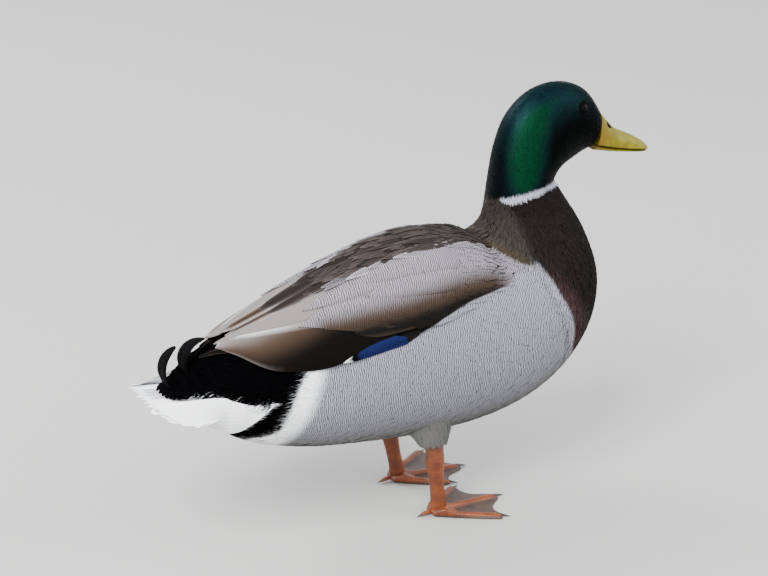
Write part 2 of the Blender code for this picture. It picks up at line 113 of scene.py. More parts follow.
# The folded wing, from the shoulder to the tip: station, upper and lower edge in degrees, how far
# it stands out in the middle and at its edges.
WING = np.array([
    (7.35, 31.0, 43.0, 0.0006, 0.0004),
    (6.50, 11.0, 50.0, 0.0030, 0.0006),
    (5.40, 7.0, 57.0, 0.0048, 0.0010),
    (4.40, 6.0, 65.0, 0.0058, 0.0016),
    (3.50, 5.0, 67.0, 0.0064, 0.0024),
    (2.70, 4.5, 58.0, 0.0066, 0.0036),
    (2.10, 4.5, 38.0, 0.0068, 0.0050),
    (1.62, 5.0, 14.0, 0.0070, 0.0062),
])


def curve(rows, t):
    """A smooth curve through evenly spaced rows of numbers, read at each t."""
    t = np.asarray(t, float)
    last = len(rows) - 1
    i = np.clip(t.astype(int), 0, last - 1)
    u = (t - i)[..., None]
    before, here = rows[np.maximum(i - 1, 0)], rows[i]
    there, after = rows[i + 1], rows[np.minimum(i + 2, last)]
    slope_here, slope_there = (there - before) / 2, (after - here) / 2
    return (
        here * (2 * u**3 - 3 * u**2 + 1)
        + slope_here * (u**3 - 2 * u**2 + u)
        + there * (3 * u**2 - 2 * u**3)
        + slope_there * (u**3 - u**2)
    )


# The same wing in fine steps, from its tip forwards, so that it can be read at any station.
WING_FINE = curve(WING, np.linspace(0, len(WING) - 1, 200))[::-1]


def between(value, low, high):
    """0 below low, 1 above high and a smooth change between them."""
    share = np.clip((value - low) / (high - low), 0, 1)
    return share * share * (3 - 2 * share)


def degrees(angle):
    """The angle from the back, whichever side it is on."""
    return np.abs(np.degrees(angle))


def unit(vectors):
    """The same directions with a length of one."""
    return vectors / np.maximum(np.linalg.norm(vectors, axis=-1, keepdims=True), 1e-12)


def bare(t, angle):
    """Points of the body without its wings."""
    rows = curve(STATIONS, np.clip(t, 0, LAST_STATION))
    up = np.cos(angle)
    widest = rows[..., 5]
    share = np.where(up > 0, widest + (1 - widest) * up, widest + widest * up)
    x = rows[..., 2] + (rows[..., 0] - rows[..., 2]) * share
    z = rows[..., 3] + (rows[..., 1] - rows[..., 3]) * share
    return np.stack([x, rows[..., 4] * np.sin(angle), z], -1) + SHIFT


def outward(t, angle):
    """The outward direction of the body's surface."""
    step = 2e-3
    along = bare(t + step, angle) - bare(t - step, angle)
    around = bare(t, angle + step) - bare(t, angle - step)
    return unit(np.cross(along, around))


def wing_row(t):
    """The folded wing's upper and lower edge in degrees, and how far its middle and edges stand out."""
    return [np.interp(t, WING_FINE[:, 0], values) for values in WING_FINE.T[1:]]


def wing_lift(t, angle):
    """How far the folded wing stands out of the body, most in its middle."""
    upper, lower, proud, edge = wing_row(t)
    share = np.clip((degrees(angle) - upper) / (lower - upper), 0, 1)
    return edge + (proud - edge) * np.sqrt(4 * share * (1 - share))


def surface(t, angle, height=0.0, winged=False):
    """Points at a height over the body, or over the folded wing."""
    lift = wing_lift(t, angle) if winged else 0.0
    return bare(t, angle) + outward(t, angle) * (np.asarray(height) + lift)[..., None]


def srgb(red, green, blue):
    """A display colour as the linear one that shaders use."""
    parts = (red / 255, green / 255, blue / 255)
    return tuple(p / 12.92 if p <= 0.04045 else ((p + 0.055) / 1.055) ** 2.4 for p in parts)


# ---- what a user may change ------------------------------------------------------------------
def colour(name, description, *display):
    """A colour property whose default is given as a display colour."""
    return bpy.props.FloatVectorProperty(
        name=name, description=description, default=srgb(*display), subtype="COLOR", min=0, max=1
    )


def length(name, description, default):
    """A length property in metres."""
    return bpy.props.FloatProperty(
        name=name, description=description, default=default, min=0, subtype="DISTANCE", unit="LENGTH"
    )


class MALLARD_PG_plumage(bpy.types.PropertyGroup):
    """Colours of the feathers."""
    # Head green and head blue are laid on the near black head as painted sheen.
    green: colour("Head green", "The bright part of the head's sheen", 2, 50, 29)
    teal: colour("Head blue", "The sheen round the bright green", 9, 36, 40)
    dark_head: colour("Head dark", "The head away from the light", 2, 4, 4)
    collar: colour("Collar", "The ring round the neck", 180, 179, 189)
    hindneck: colour("Hindneck", "The back of the neck below the collar", 45, 41, 37)
    breast: colour("Breast", "The dark upper breast", 23, 18, 17)
    # The ochre line is the feathers' own ochre, darkened by painted shade at the base of the neck.
    maroon: colour("Lower breast", "The redder edge of the breast", 55, 36, 37)
    ochre: colour("Ochre line", "The line between mantle and shoulder", 49, 42, 31)
    flank: colour("Flank", "The finely lined sides", 149, 149, 160)
    # The belly's colour is its own pale grey, darkened by painted shade on the underside.
    belly: colour("Belly", "The underside", 98, 97, 95)
    scapular: colour("Shoulder", "The lilac-grey shoulder feathers", 137, 132, 138)
    brown: colour("Wing brown", "The brown lower edge of the wing", 60, 47, 38)
    dark_brown: colour("Wing dark brown", "The darkest brown of the wing", 9, 7, 5)
    mantle: colour("Mantle", "The dark grey-brown back", 48, 41, 39)
    silver: colour("Silver", "The pale vanes of the longest wing feathers", 112, 106, 104)
    blue: colour("Wing bar", "The blue bar of the wing", 19, 25, 62)
    black: colour("Black", "The rump, the tail coverts and the curls", 2, 2, 3)
    white: colour("White", "The tail and the patch before the rump", 249, 250, 253)


class MALLARD_PG_coat(bpy.types.PropertyGroup):
    """Sizes of the coat."""
    depth: length("Coat depth", "How far the skin lies below the feathers' tips", 0.0024)
    head_depth: length("Head coat depth", "The same on the head", 0.0010)
    skin_detail: length("Skin detail", "Size of the skin's faces", 0.0018)
    thickness: length("Vane thickness", "Thickness of one small feather", 0.00018)
    seed: bpy.props.IntProperty(
        name="Seed", description="Start of the random placing of feathers", default=7, min=0
    )


class MALLARD_PG_stage(bpy.types.PropertyGroup):
    """Floor, lights and camera."""
    floor: colour("Floor", "The floor's colour", 171, 170, 167)
    key: bpy.props.FloatProperty(
        name="Main light", description="Power of the main soft light", default=123, min=0, unit="POWER"
    )
    azimuth: bpy.props.FloatProperty(
        name="Azimuth", description="Where the camera stands round the bird",
        default=math.radians(-27), subtype="ANGLE", unit="ROTATION",
    )
    elevation: bpy.props.FloatProperty(
        name="Elevation", description="The camera's height as an angle",
        default=math.radians(23), subtype="ANGLE", unit="ROTATION",
    )
    distance: length("Distance", "From the camera to the middle of the view", 2.0)


def paint(name, mark=0.0):
    """A plumage colour with its strength of fine lines, as four numbers."""
    return np.array([*getattr(bpy.context.scene.mallard_plumage, name), mark])


def coat_of(name, shape, mark=0.0):
    """An array of one plumage colour, to lay others over."""
    return np.broadcast_to(paint(name, mark), (*shape, 4)).copy()


# ---- markings --------------------------------------------------------------------------------
def border(points, value):
    """Reads a border line given as (place, value) pairs."""
    places, values = zip(*points)
    return np.interp(value, places, values)


# Station of a border at an angle in degrees, or angle of a border at a station.
COLLAR_TOP = ((0, 12.10), (27, 12.24), (63, 12.36), (86, 12.46), (114, 12.42), (152, 12.16), (180, 12.1))
COLLAR_FOOT = ((0, 11.90), (34, 11.86), (62, 11.92), (84, 11.97), (115, 12.00), (156, 11.84), (180, 11.8))
BREAST_FOOT = ((0, 9.9), (50, 9.58), (60, 9.24), (74, 9.04), (86, 8.82), (102, 8.66), (116, 8.46),
               (125, 8.26), (140, 8.14), (180, 8.0))
HINDNECK_EDGE = ((6.0, 2), (6.54, 6), (6.90, 15), (7.64, 30), (8.22, 42), (8.74, 53), (9.0, 58), (9.2, 59),
                 (9.58, 53), (10.44, 50), (11.38, 50), (11.98, 37))
MANTLE_EDGE = ((3.6, 9), (4.26, 19), (4.78, 17), (5.16, 22), (5.76, 17), (6.10, 19), (6.42, 23), (7.06, 29),
               (7.80, 36), (8.4, 44))
BLACK_FRONT = ((0, 2.9), (64, 2.82), (72, 2.66), (85, 2.52), (96, 2.40), (108, 2.32), (119, 2.12),
               (135, 1.80), (180, 1.62))
WHITE_FRONT = ((0, 3.04), (60, 3.06), (69, 3.00), (82, 2.86), (104, 2.66), (126, 2.44), (180, 2.1))
WEDGE_TOP = ((0.0, 62), (0.72, 66), (1.36, 73), (1.76, 79), (2.26, 80))
WEDGE_FOOT = ((0.0, 158), (0.9, 156), (1.32, 133), (1.72, 103), (2.02, 89), (2.26, 80))
BROWN_EDGE = ((3.2, 40), (3.5, 44), (3.98, 48), (4.44, 50), (4.94, 50), (5.56, 47), (6.50, 46), (7.5, 47))
WING_FOOT = ((3.0, 62), (4.34, 68), (4.92, 61), (5.52, 55), (6.16, 52), (6.72, 50), (7.48, 47))


def lay(base, name, mask, mark=0.0):
    """Lays a colour over what is there, where the mask is 1."""
    mask = np.asarray(mask, float)[..., None]
    return base * (1 - mask) + paint(name, mark) * mask


def markings(t, angle):
    """The plumage's colour, and how strong its fine lines are, at a place on the body."""
    d = degrees(angle)
    foot = border(BREAST_FOOT, d)
    edge = border(HINDNECK_EDGE, t)
    out = coat_of("flank", np.shape(t), 1.0)
    # the underside in the belly's colour, which holds painted shade
    out = lay(out, "belly", between(d, 100, 146), 0.25)
    out = lay(out, "scapular", (1 - between(d, 44, 52)) * (t > 3), 0.8)
    # the bottom of the breast is redder, with a pale fringe behind it
    out = lay(out, "collar", between(t, foot - 0.40, foot - 0.06) * between(d, 62, 74) * 0.4, 0.35)
    chest = between(t, foot - 0.05, foot + 0.07) * (d > edge - 20)
    out = lay(out, "breast", chest)
    red = (1 - between(t, foot + 0.1, foot + 1.0)) * between(d, 56, 100)
    out = lay(out, "maroon", chest * red * 0.9)
    # the folded wing's edge, mantle and hindneck
    out = wing_edge(out, t, d, 1 - between(t, 5.8, 6.6))
    back = (t > 3.3) & (t <= 7.0) & (d < border(MANTLE_EDGE, t))
    out = lay(out, "mantle", back)
    nape = np.where(t > foot + 0.07, 1 - between(d, edge - 16, edge + 10), d < edge) * (t > 6.2)
    out = lay(out, "mantle", nape)
    out = lay(out, "hindneck", nape * between(t, 7.2, 9.0))
    # the ochre line: its own ochre, darkened by painted shade at the base of the neck
    line = between(d, edge - 20, edge - 10) * (d < edge) * (1 - between(t, 8.7, 9.3)) * between(t, 6.0, 6.5)
    out = lay(out, "ochre", line)
    # rear: white patch, black rump and coverts, white sides of the tail
    white_front, black_front = border(WHITE_FRONT, d), border(BLACK_FRONT, d)
    out = lay(out, "white", (1 - between(t, white_front - 0.10, white_front + 0.20)) * (d > 40), 0.1)
    out = lay(out, "black", t < black_front)
    wedge = (d > border(WEDGE_TOP, t)) & (d < border(WEDGE_FOOT, t)) & (t < 2.26)
    out = lay(out, "white", wedge)
    # collar and head: near black, with painted sheen in blue-green over the crown and round a bright green
    # crescent
    top, low = border(COLLAR_TOP, d), border(COLLAR_FOOT, d)
    low = np.maximum(low, top - (top - low) * between(d, 22, 44) * 0.82 - 0.02)
    out = lay(out, "collar", (t > low) & (t <= top) & (d > 24))
    head = (t > top) | ((t > low) & (d <= 24))
    out = lay(out, "dark_head", head)
    crown = between(t, 13.4, 15.6) * (1 - between(t, 17.2, 18.6))
    out = lay(out, "teal", head * (1 - between(d, 46, 88)) * (0.10 + 0.70 * crown))
    band = sheen_band(t, d)
    out = lay(out, "teal", head * np.clip(band * 2.2, 0, 1) * 0.5)
    out = lay(out, "green", head * between(band, 0.12, 0.85))
    return out


# The middle line and half width in degrees of the head's painted sheen, by station.
SHEEN_LINE = ((12.2, 70), (12.7, 69), (13.8, 61), (14.7, 54), (15.4, 49), (16.2, 45), (17.0, 40))
SHEEN_HALF = ((12.2, 19), (13.8, 23), (14.7, 20), (15.4, 15), (16.2, 9), (17.0, 5))


def sheen_band(t, d):
    """The head's painted sheen, a bright crescent where the light falls: 1 in its middle, 0 well outside it.
    """
    middle, half = border(SHEEN_LINE, t), border(SHEEN_HALF, t)
    across = np.abs(d - middle) / (half * 2)
    fade = between(t, 11.9, 13.2) * (1 - between(t, 15.2, 16.8))
    return np.clip(1 - across, 0, 1) * (0.2 + 0.8 * fade)


def wing_edge(out, t, d, share=1.0):
    """Lays the shoulder's brown lower edge over colours already there."""
    brown, foot = border(BROWN_EDGE, t), border(WING_FOOT, t)
    along_edge = between(t, 3.0, 3.3) * (1 - between(t, 7.4, 7.55))
    inside = (1 - between(d, foot - 0.4, foot + 0.6)) * along_edge * share
    rear = between(t, 7.35, 6.1)
    out = lay(out, "brown", between(d, brown - 13, brown + 1) * (0.3 + 0.7 * rear) * inside, 0.7)
    return lay(out, "dark_brown", between(d, brown - 1, brown + 7) * rear * inside, 0.15)


def wing_markings(t, angle):
    """The colour of the shoulder and wing feathers at a place on the folded wing."""
    d = degrees(angle)
    foot = border(WING_FOOT, t)
    out = coat_of("scapular", np.shape(t), 0.9)
    out = lay(out, "flank", between(d, foot - 0.4, foot + 0.6) * (t > 4.35), 1.0)
    return wing_edge(out, t, d)


# ---- meshes of many feathers -----------------------------------------------------------------
def vane_grid(rows, columns):
    """Shares along a feather, 0 at its root and 1 at its tip, and across it, from -1 to 1."""
    return np.meshgrid(np.linspace(0, 1, rows), np.linspace(-1, 1, columns), indexing="ij")


def add_object(name, data):
    """A new object of the scene with its place in its data."""
    obj = bpy.data.objects.new(name, data)
    bpy.context.scene.collection.objects.link(obj)
    return obj


def feather_faces(rows, columns, full):
    """Faces of one feather: a grid on top, then a full grid or a plain underside."""
    faces = []
    for r in range(rows - 1):
        for c in range(columns - 1):
            a = r * columns + c
            faces.append((a, a + columns, a + columns + 1, a + 1))
    last = (rows - 1) * columns
    if not full:
        middle = rows * columns
        for r in range(rows - 2):
            a, m = r * columns, middle + r
            faces.append((a, m, m + 1, a + columns))
            faces.append((m, a + columns - 1, a + 2 * columns - 1, m + 1))
        a, m = last - columns, middle + rows - 2
        faces.append((a, m, last))
        faces.append((m, last - 1, last + columns - 1))
        faces += [(m, last + c + 1, last + c) for c in range(columns - 1)]
        faces.append((*range(columns), middle))
        return faces
    under = rows * columns
    top = list(faces)
    faces += [tuple(under + v for v in reversed(face)) for face in top]
    edge = [r * columns for r in range(rows)]
    edge += [last + c for c in range(1, columns)]
    edge += [r * columns + columns - 1 for r in range(rows - 2, -1, -1)]
    edge += [c for c in range(columns - 2, 0, -1)]
    for a, b in zip(edge, edge[1:] + edge[:1]):
        faces.append((b, a, under + a, under + b))
    return faces


def feather_object(name, points, tint, lie, patch, under=None, body=None, soft=0.0, deep=1.6):
    """One mesh of many feathers from arrays of shape (feathers, rows, columns, ...).

    body is the body's outward direction at each point. Shading follows it by the share soft, so
    that overlapping feathers blend into one smooth coat. Small feathers are deep thicknesses deep
    along their spine.
    """
    count, rows, columns = points.shape[:3]
    full = under is not None
    faces = feather_faces(rows, columns, full)
    size = rows * columns
    own = unit(np.cross(np.gradient(points, axis=1), np.gradient(points, axis=2)))
    flat = points.reshape(count, size, 3)
    if full:
        below = under.reshape(count, size, 3)
    else:
        thick = bpy.context.scene.mallard_coat.thickness
        below = points[:, :-1, columns // 2] - own[:, :-1, columns // 2] * thick * deep
    flat = np.concatenate([flat, below], axis=1)
    step = flat.shape[1]
    loops = np.concatenate([np.array(face) for face in faces])
    totals = np.array([len(face) for face in faces])
    every_loop = (loops[None] + np.arange(count)[:, None] * step).ravel()
    starts = np.concatenate([[0], np.cumsum(totals)[:-1]])
    every_start = (starts[None] + np.arange(count)[:, None] * len(loops)).ravel()
    mesh = bpy.data.meshes.new(name)
    mesh.vertices.add(count * step)
    mesh.vertices.foreach_set("co", flat.astype(np.float32).ravel())
    mesh.loops.add(len(every_loop))
    mesh.loops.foreach_set("vertex_index", every_loop.astype(np.int32))
    mesh.polygons.add(count * len(faces))
    mesh.polygons.foreach_set("loop_start", every_start.astype(np.int32))
    mesh.update(calc_edges=True)

    def spread(values, width):
        """Values of the top's points, carried to the underside."""
        values = values.reshape(count, rows, columns, width)
        lower = values if full else values[:, :-1, columns // 2]
        return np.concatenate([values.reshape(count, size, width), lower.reshape(count, -1, width)], axis=1)

    set_attribute(mesh, "tint", "FLOAT_COLOR", spread(tint, 4))
    set_attribute(mesh, "lie", "FLOAT_VECTOR", spread(lie, 3))
    places = spread(patch, 2)
    if full:
        places[:, size:, 1] += 0.5
    bake = mesh.uv_layers.new(name="OFBake")
    bake.data.foreach_set("uv", places.reshape(-1, 2)[every_loop].astype(np.float32).ravel())
    mesh.shade_smooth()
    if body is not None:
        own = unit(own * (1 - soft) + body * soft)
    facing = spread(own, 3)
    if full:
        facing[:, size:] *= -1
    set_attribute(mesh, "custom_normal", "FLOAT_VECTOR", facing)
    return add_object(name, mesh)


def set_attribute(mesh, name, kind, values):
    """Gives each point of a mesh a colour or a vector."""
    attribute = mesh.attributes.new(name, kind, "POINT")
    field = "color" if kind == "FLOAT_COLOR" else "vector"
    attribute.data.foreach_set(field, values.astype(np.float32).ravel())


def body_grid(stations, turns):
    """Every station with every turn in degrees, as (t, angle)."""
    t, angle = np.meshgrid(stations, np.radians(turns), indexing="ij")
    return t.ravel(), angle.ravel()


def spread_roots(region, spacing, rng):
    """Places spread evenly over the body where region(t, angle, degrees) is true."""
    t, angle = body_grid(np.arange(0.05, LAST_STATION, 0.1), np.arange(-179, 181, 2))
    area = np.linalg.norm(np.cross(
        bare(t + 0.05, angle) - bare(t - 0.05, angle),
        bare(t, angle + math.radians(1)) - bare(t, angle - math.radians(1)),
    ), axis=-1)
    area = area * region(t, angle, degrees(angle))
    wanted = int(area.sum() / spacing**2 * 3.2)
    pick = rng.choice(len(t), wanted, p=area / area.sum())
    t = t[pick] + rng.uniform(-0.05, 0.05, wanted)
    angle = angle[pick] + np.radians(rng.uniform(-1, 1, wanted))
    points = bare(t, angle)
    taken, kept = {}, []
    cells = np.floor(points / spacing).astype(int)
    for number, (cell, point) in enumerate(zip(map(tuple, cells), points.tolist())):
        near = (
            other
            for i in (-1, 0, 1) for j in (-1, 0, 1) for k in (-1, 0, 1)
            for other in taken.get((cell[0] + i, cell[1] + j, cell[2] + k), ())
        )
        if all(math.dist(point, other) > spacing * 0.86 for other in near):
            taken.setdefault(cell, []).append(point)
            kept.append(number)
    return t[kept], angle[kept]


def across_and_along(t, angle, forward):
    """Changes of (t, angle) for one metre along a direction and one metre to its side."""
    step = 1e-3
    by_t = (bare(t + step, angle) - bare(t - step, angle)) / (2 * step)
    by_angle = (bare(t, angle + step) - bare(t, angle - step)) / (2 * step)
    normal = unit(np.cross(by_t, by_angle))
    forward = unit(forward - normal * (forward * normal).sum(-1, keepdims=True))
    side = np.cross(normal, forward)
    a, b, c = (by_t * by_t).sum(-1), (by_t * by_angle).sum(-1), (by_angle * by_angle).sum(-1)
    scale = a * c - b * b
    moves = []
    for way in (forward, side):
        p, q = (by_t * way).sum(-1), (by_angle * way).sum(-1)
        moves.append(((p * c - q * b) / scale, (q * a - p * b) / scale))
    return moves


class Vanes:
    """One kind of small feather.

    long and half width, heights of root and tip over the body, all in metres; rows and columns of
    points; how round and how ragged the tip is; and sway, the spread of its direction in degrees.
    """

    def __init__(self, long, half, root, tip, rows=4, columns=5, round_tip=0.45, ragged=0.10,
                 sway=8.0, winged=False, pale_edge=0.0, dark_centre=0.0, shade=0.10, smooth=True, soft=0.7):
        self.long, self.half, self.root, self.tip = long, half, root, tip
        self.rows, self.columns, self.round_tip, self.ragged = rows, columns, round_tip, ragged
        self.sway, self.winged, self.smooth, self.soft = sway, winged, smooth, soft
        self.pale_edge, self.dark_centre, self.shade = pale_edge, dark_centre, shade


def flow_back(t, angle):
    """The way feathers lie: back along the body, from bill to tail."""
    step = 1e-2
    return unit(bare(t - step, angle) - bare(t + step, angle))


def flow_down(t, angle):
    """The way down the body's side, from the back to the belly."""
    step = 1e-2
    return unit(bare(t, angle + step * np.sign(angle)) - bare(t, angle))


def grow(name, t, angle, kind, colours, rng, forward=None, size=None):
    """Small feathers rooted at (t, angle), lying along the body, as one object."""
    count = len(t)
    size = np.ones(count) if size is None else size
    forward = flow_back(t, angle) if forward is None else forward
    normal = outward(t, angle)
    turn = np.radians(rng.normal(0, kind.sway, count))[:, None]
    forward = unit(forward - normal * (forward * normal).sum(-1, keepdims=True))
    forward = forward * np.cos(turn) + np.cross(normal, forward) * np.sin(turn)
    (ahead_t, ahead_a), (side_t, side_a) = across_and_along(t, angle, forward)
    # where the stations spread out behind a root, the feather is kept to its own length
    there = bare(t + ahead_t * kind.long, angle + ahead_a * kind.long)
    size = size / np.maximum(np.linalg.norm(there - bare(t, angle), axis=-1) / kind.long, 1.0)
    s, w = vane_grid(kind.rows, kind.columns)
    each = (count, 1, 1)
    vary = rng.uniform(0.82, 1.18, each) * size[:, None, None]
    ragged = kind.ragged * (0.5 + 0.5 * w * rng.uniform(-1, 1, each))
    share = s * (1 - kind.round_tip * np.abs(w) ** 2.2 - ragged)
    along = share * kind.long * vary
    width = 0.45 + 0.55 * np.sin(np.pi * np.minimum(s * 0.9 + 0.12, 1.0)) ** 0.6
    width = np.where(s > 0.5, np.maximum(width, 0.80), width)
    side = w * width * kind.half * vary
    tt = t[:, None, None] + ahead_t[:, None, None] * along + side_t[:, None, None] * side
    aa = angle[:, None, None] + ahead_a[:, None, None] * along + side_a[:, None, None] * side
    low = rng.uniform(-0.08, 0.08, each) * abs(kind.tip - kind.root)
    roll = rng.normal(0, 0.06, each) * abs(kind.tip - kind.root) * w
    height = kind.root + (kind.tip - kind.root) * (1 - (1 - share) ** 1.5) + low * s + roll * s
    height = height + bpy.context.scene.mallard_coat.thickness * (1 - np.abs(w))
    points = surface(tt, aa, height, kind.winged)
    if kind.smooth:
        tint = colours(tt, aa)
    else:
        tint = colours(t + ahead_t * kind.long * 0.75, angle + ahead_a * kind.long * 0.75)
        tint = np.broadcast_to(tint[:, None, None, :], (*points.shape[:3], 4)).copy()
    tint[..., :3] *= 1 + rng.normal(0, kind.shade, (*each, 1))
    edge = np.clip(np.abs(w) ** 2 * (0.4 + 0.6 * s) + 0.6 * s**6, 0, 1)[..., None]
    tint[..., :3] *= 1 + kind.pale_edge * edge
    tint[..., :3] *= 1 - kind.dark_centre * (1 - edge) * s[..., None]
    lie = np.stack(np.broadcast_arrays(w, s, rng.uniform(0, 1, each)), -1)
    return feather_object(
        name, points, np.clip(tint, 0, 1), lie, bake_patch(t, angle, s, w),
        body=outward(tt, aa), soft=kind.soft, deep=6.0 if kind.winged else 1.6,
    )


def bake_patch(t, angle, s, w):
    """Each feather as a small patch at its root's place on an unwrap of the body."""
    u, v = (0.005 + 0.99 * (at - at.min()) / (at.max() - at.min()) for at in (angle, t))
    return np.stack([u[:, None, None] + w * 0.0015, v[:, None, None] + (0.5 - s) * 0.003], -1)


def finish_piece(obj, material, slot, *nodes):
    """Gives a piece its material, its body and the CAD nodes that it replaces. The slot is not used."""
    obj.data.materials.clear()
    obj.data.materials.append(material)
    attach(obj, "root")
    if nodes:
        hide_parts(*nodes)
    return obj


# ---- shader maths ----------------------------------------------------------------------------
class Wire:
    """A shader socket that can stand in a Python expression."""

    def __init__(self, graph, socket):
        self.graph, self.socket = graph, socket

    def maths(self, operation, *values):
        return self.graph.add("ShaderNodeMath", {"operation": operation}, dict(enumerate(values)))

    def __add__(self, other):
        return self.maths("ADD", self, other)

    def __sub__(self, other):
        return self.maths("SUBTRACT", self, other)

    def __rsub__(self, other):
        return self.maths("SUBTRACT", other, self)

    def __mul__(self, other):
        return self.maths("MULTIPLY", self, other)

    __radd__ = __add__
    __rmul__ = __mul__

    def rise(self, low, high):
        """0 below low, 1 above high."""
        settings = {"interpolation_type": "SMOOTHSTEP"}
        return self.graph.add("ShaderNodeMapRange", settings, {0: self, 1: low, 2: high})


class Graph:
    """A material and its nodes."""

    def __init__(self, name):
        self.material = bpy.data.materials.new(name)
        self.material.use_nodes = True
        self.tree = self.material.node_tree
        self.shader = self.tree.nodes["Principled BSDF"]

    def add(self, kind, settings=None, inputs=None, output=0):
        """A node with its settings, then the values or links of its sockets."""
        node = self.tree.nodes.new(kind)
        for key, value in (settings or {}).items():
            setattr(node, key, value)
        for key, value in (inputs or {}).items():
            self.put(node.inputs[key], value)
        return Wire(self, node.outputs[output])

    def put(self, socket, value):
        if isinstance(value, Wire):
            self.tree.links.new(value.socket, socket)
        else:
            socket.default_value = value

    def set(self, **values):
        """Sets the main shader's sockets and returns the material."""
        for key, value in values.items():
            self.put(self.shader.inputs[key.replace("_", " ")], value)
        return self.material

    def mix(self, factor, first, second, kind="MIX"):
        settings = {"data_type": "RGBA", "blend_type": kind}
        return self.add("ShaderNodeMix", settings, {0: factor, 6: first, 7: second}, output=2)

    def attribute(self, name, output=0):
        return self.add("ShaderNodeAttribute", {"attribute_name": name}, output=output)

    def parts(self, vector):
        node = self.tree.nodes.new("ShaderNodeSeparateXYZ")
        self.put(node.inputs[0], vector)
        return [Wire(self, output) for output in node.outputs]

    def vector(self, x, y, z):
        return self.add("ShaderNodeCombineXYZ", inputs={0: x, 1: y, 2: z})

    def noise(self, vector, scale, detail=2.0, rough=0.5):
        inputs = {"Vector": vector, "Scale": scale, "Detail": detail, "Roughness": rough}
        return self.add("ShaderNodeTexNoise", inputs=inputs)

    def place(self):
        return self.add("ShaderNodeTexCoord", output=3)

    def mapping(self, place, **change):
        """A place, turned or stretched."""
        return self.add("ShaderNodeMapping", inputs={"Vector": place, **change})

    def bump(self, height, strength, distance):
        inputs = {"Height": height, "Strength": strength, "Distance": distance}
        return self.add("ShaderNodeBump", inputs=inputs)


WHITE, DARK = (1, 1, 1, 1), (0, 0, 0, 1)
FINE_LINES = {"Scale": 205.0, "Distortion": 4.4, "Detail": 1.0, "Detail Scale": 1.3}
LINE_COLOUR = (0.12, 0.11, 0.12, 1)


def opaque(red, green, blue):
    """A display colour as the four numbers that a shader's socket takes."""
    return (*srgb(red, green, blue), 1)


def plumage_material(name, long, wide, rough=0.8, metal=0.0, gloss=0.2, line=0.9, barb=0.14, lean=0.0):
    """Feathers: the tint they carry, barbs along each vane and fine wavy dark lines."""
    if name in bpy.data.materials:
        return bpy.data.materials[name]
    graph = Graph(name)
    tint = graph.attribute("tint")
    mark = graph.attribute("tint", output=3)
    across, along, number = graph.parts(graph.attribute("lie", output=1))
    out = across.maths("ABSOLUTE", across)
    lie = graph.vector(along * long - out * (wide * 0.9), out * (wide * 0.16), number * 31.0)
    barbs = graph.noise(lie, 2.4, 1.0)
    shade = 1 - (barbs - 0.5) * (barb * 2.0)
    colours = graph.mix(1.0, tint, graph.mix(shade, DARK, WHITE), "MULTIPLY")
    turned = graph.mapping(graph.place(), Rotation=(0, math.radians(lean), 0))
    bands = {"wave_type": "BANDS", "bands_direction": "X"}
    wave = graph.add("ShaderNodeTexWave", bands, {"Vector": turned, **FINE_LINES}, output=1)
    dark = wave.rise(0.22, 0.74) * mark * line
    colours = graph.mix(dark, colours, graph.mix(1.0, colours, LINE_COLOUR, "MULTIPLY"))
    return graph.set(
        Base_Color=colours, Roughness=rough, Metallic=metal, Specular_IOR_Level=gloss,
        Normal=graph.bump(barbs, 0.30, 0.00025),
    )


# ---- small helpers for modelled pieces -------------------------------------------------------
def deselect():
    """Leaves nothing selected."""
    for obj in bpy.context.view_layer.objects:
        obj.select_set(False)


def activate(obj):
    """Selects one object alone."""
    deselect()
    obj.select_set(True)
    bpy.context.view_layer.objects.active = obj


def copy_node(node, name):
    """A copy of a CAD node with its doubled corners merged and its triangles joined in pairs."""
    obj = frame["nodes"][node].copy()
    obj.data = obj.data.copy()
    obj.name = obj.data.name = name
    obj.parent = None
    obj.matrix_world = frame["nodes"][node].matrix_world.copy()
    bpy.context.scene.collection.objects.link(obj)
    obj.hide_render = False
    activate(obj)
    bpy.ops.object.transform_apply(location=True, rotation=True, scale=True)
    if "custom_normal" in obj.data.attributes:
        obj.data.attributes.remove(obj.data.attributes["custom_normal"])
    bpy.ops.object.mode_set(mode="EDIT")
    bpy.ops.mesh.select_all(action="SELECT")
    bpy.ops.mesh.remove_doubles(threshold=0.00002)
    flat, square = math.radians(40), math.radians(60)
    bpy.ops.mesh.tris_convert_to_quads(face_threshold=flat, shape_threshold=square)
    bpy.ops.object.mode_set(mode="OBJECT")
    obj.data.materials.clear()
    return obj


def modify(obj, kind, **settings):
    """Adds a modifier, sets it and applies it."""
    activate(obj)
    modifier = obj.modifiers.new(kind.title(), kind)
    for key, value in settings.items():
        setattr(modifier, key, value)
    bpy.ops.object.modifier_apply(modifier=modifier.name)


def read_points(obj, field):
    """One vector of each of a mesh's points."""
    values = np.empty(len(obj.data.vertices) * 3, np.float32)
    obj.data.vertices.foreach_get(field, values)
    return values.reshape(-1, 3).astype(float)


def coordinates(obj):
    return read_points(obj, "co")


def normals(obj):
    return read_points(obj, "normal")


def set_coordinates(obj, points):
    """Moves every point of a mesh."""
    obj.data.vertices.foreach_set("co", points.astype(np.float32).ravel())
    obj.data.update()


def set_parts(obj, *values):
    """Three numbers at each point, by which a material tells the parts of a piece apart."""
    set_attribute(obj.data, "parts", "FLOAT_VECTOR", np.stack(np.broadcast_arrays(*values), -1))


def join(objects, name):
    """Several objects as one."""
    first = objects[0]
    activate(first)
    for obj in objects[1:]:
        obj.select_set(True)
    bpy.ops.object.join()
    first.name = first.data.name = name
    return first


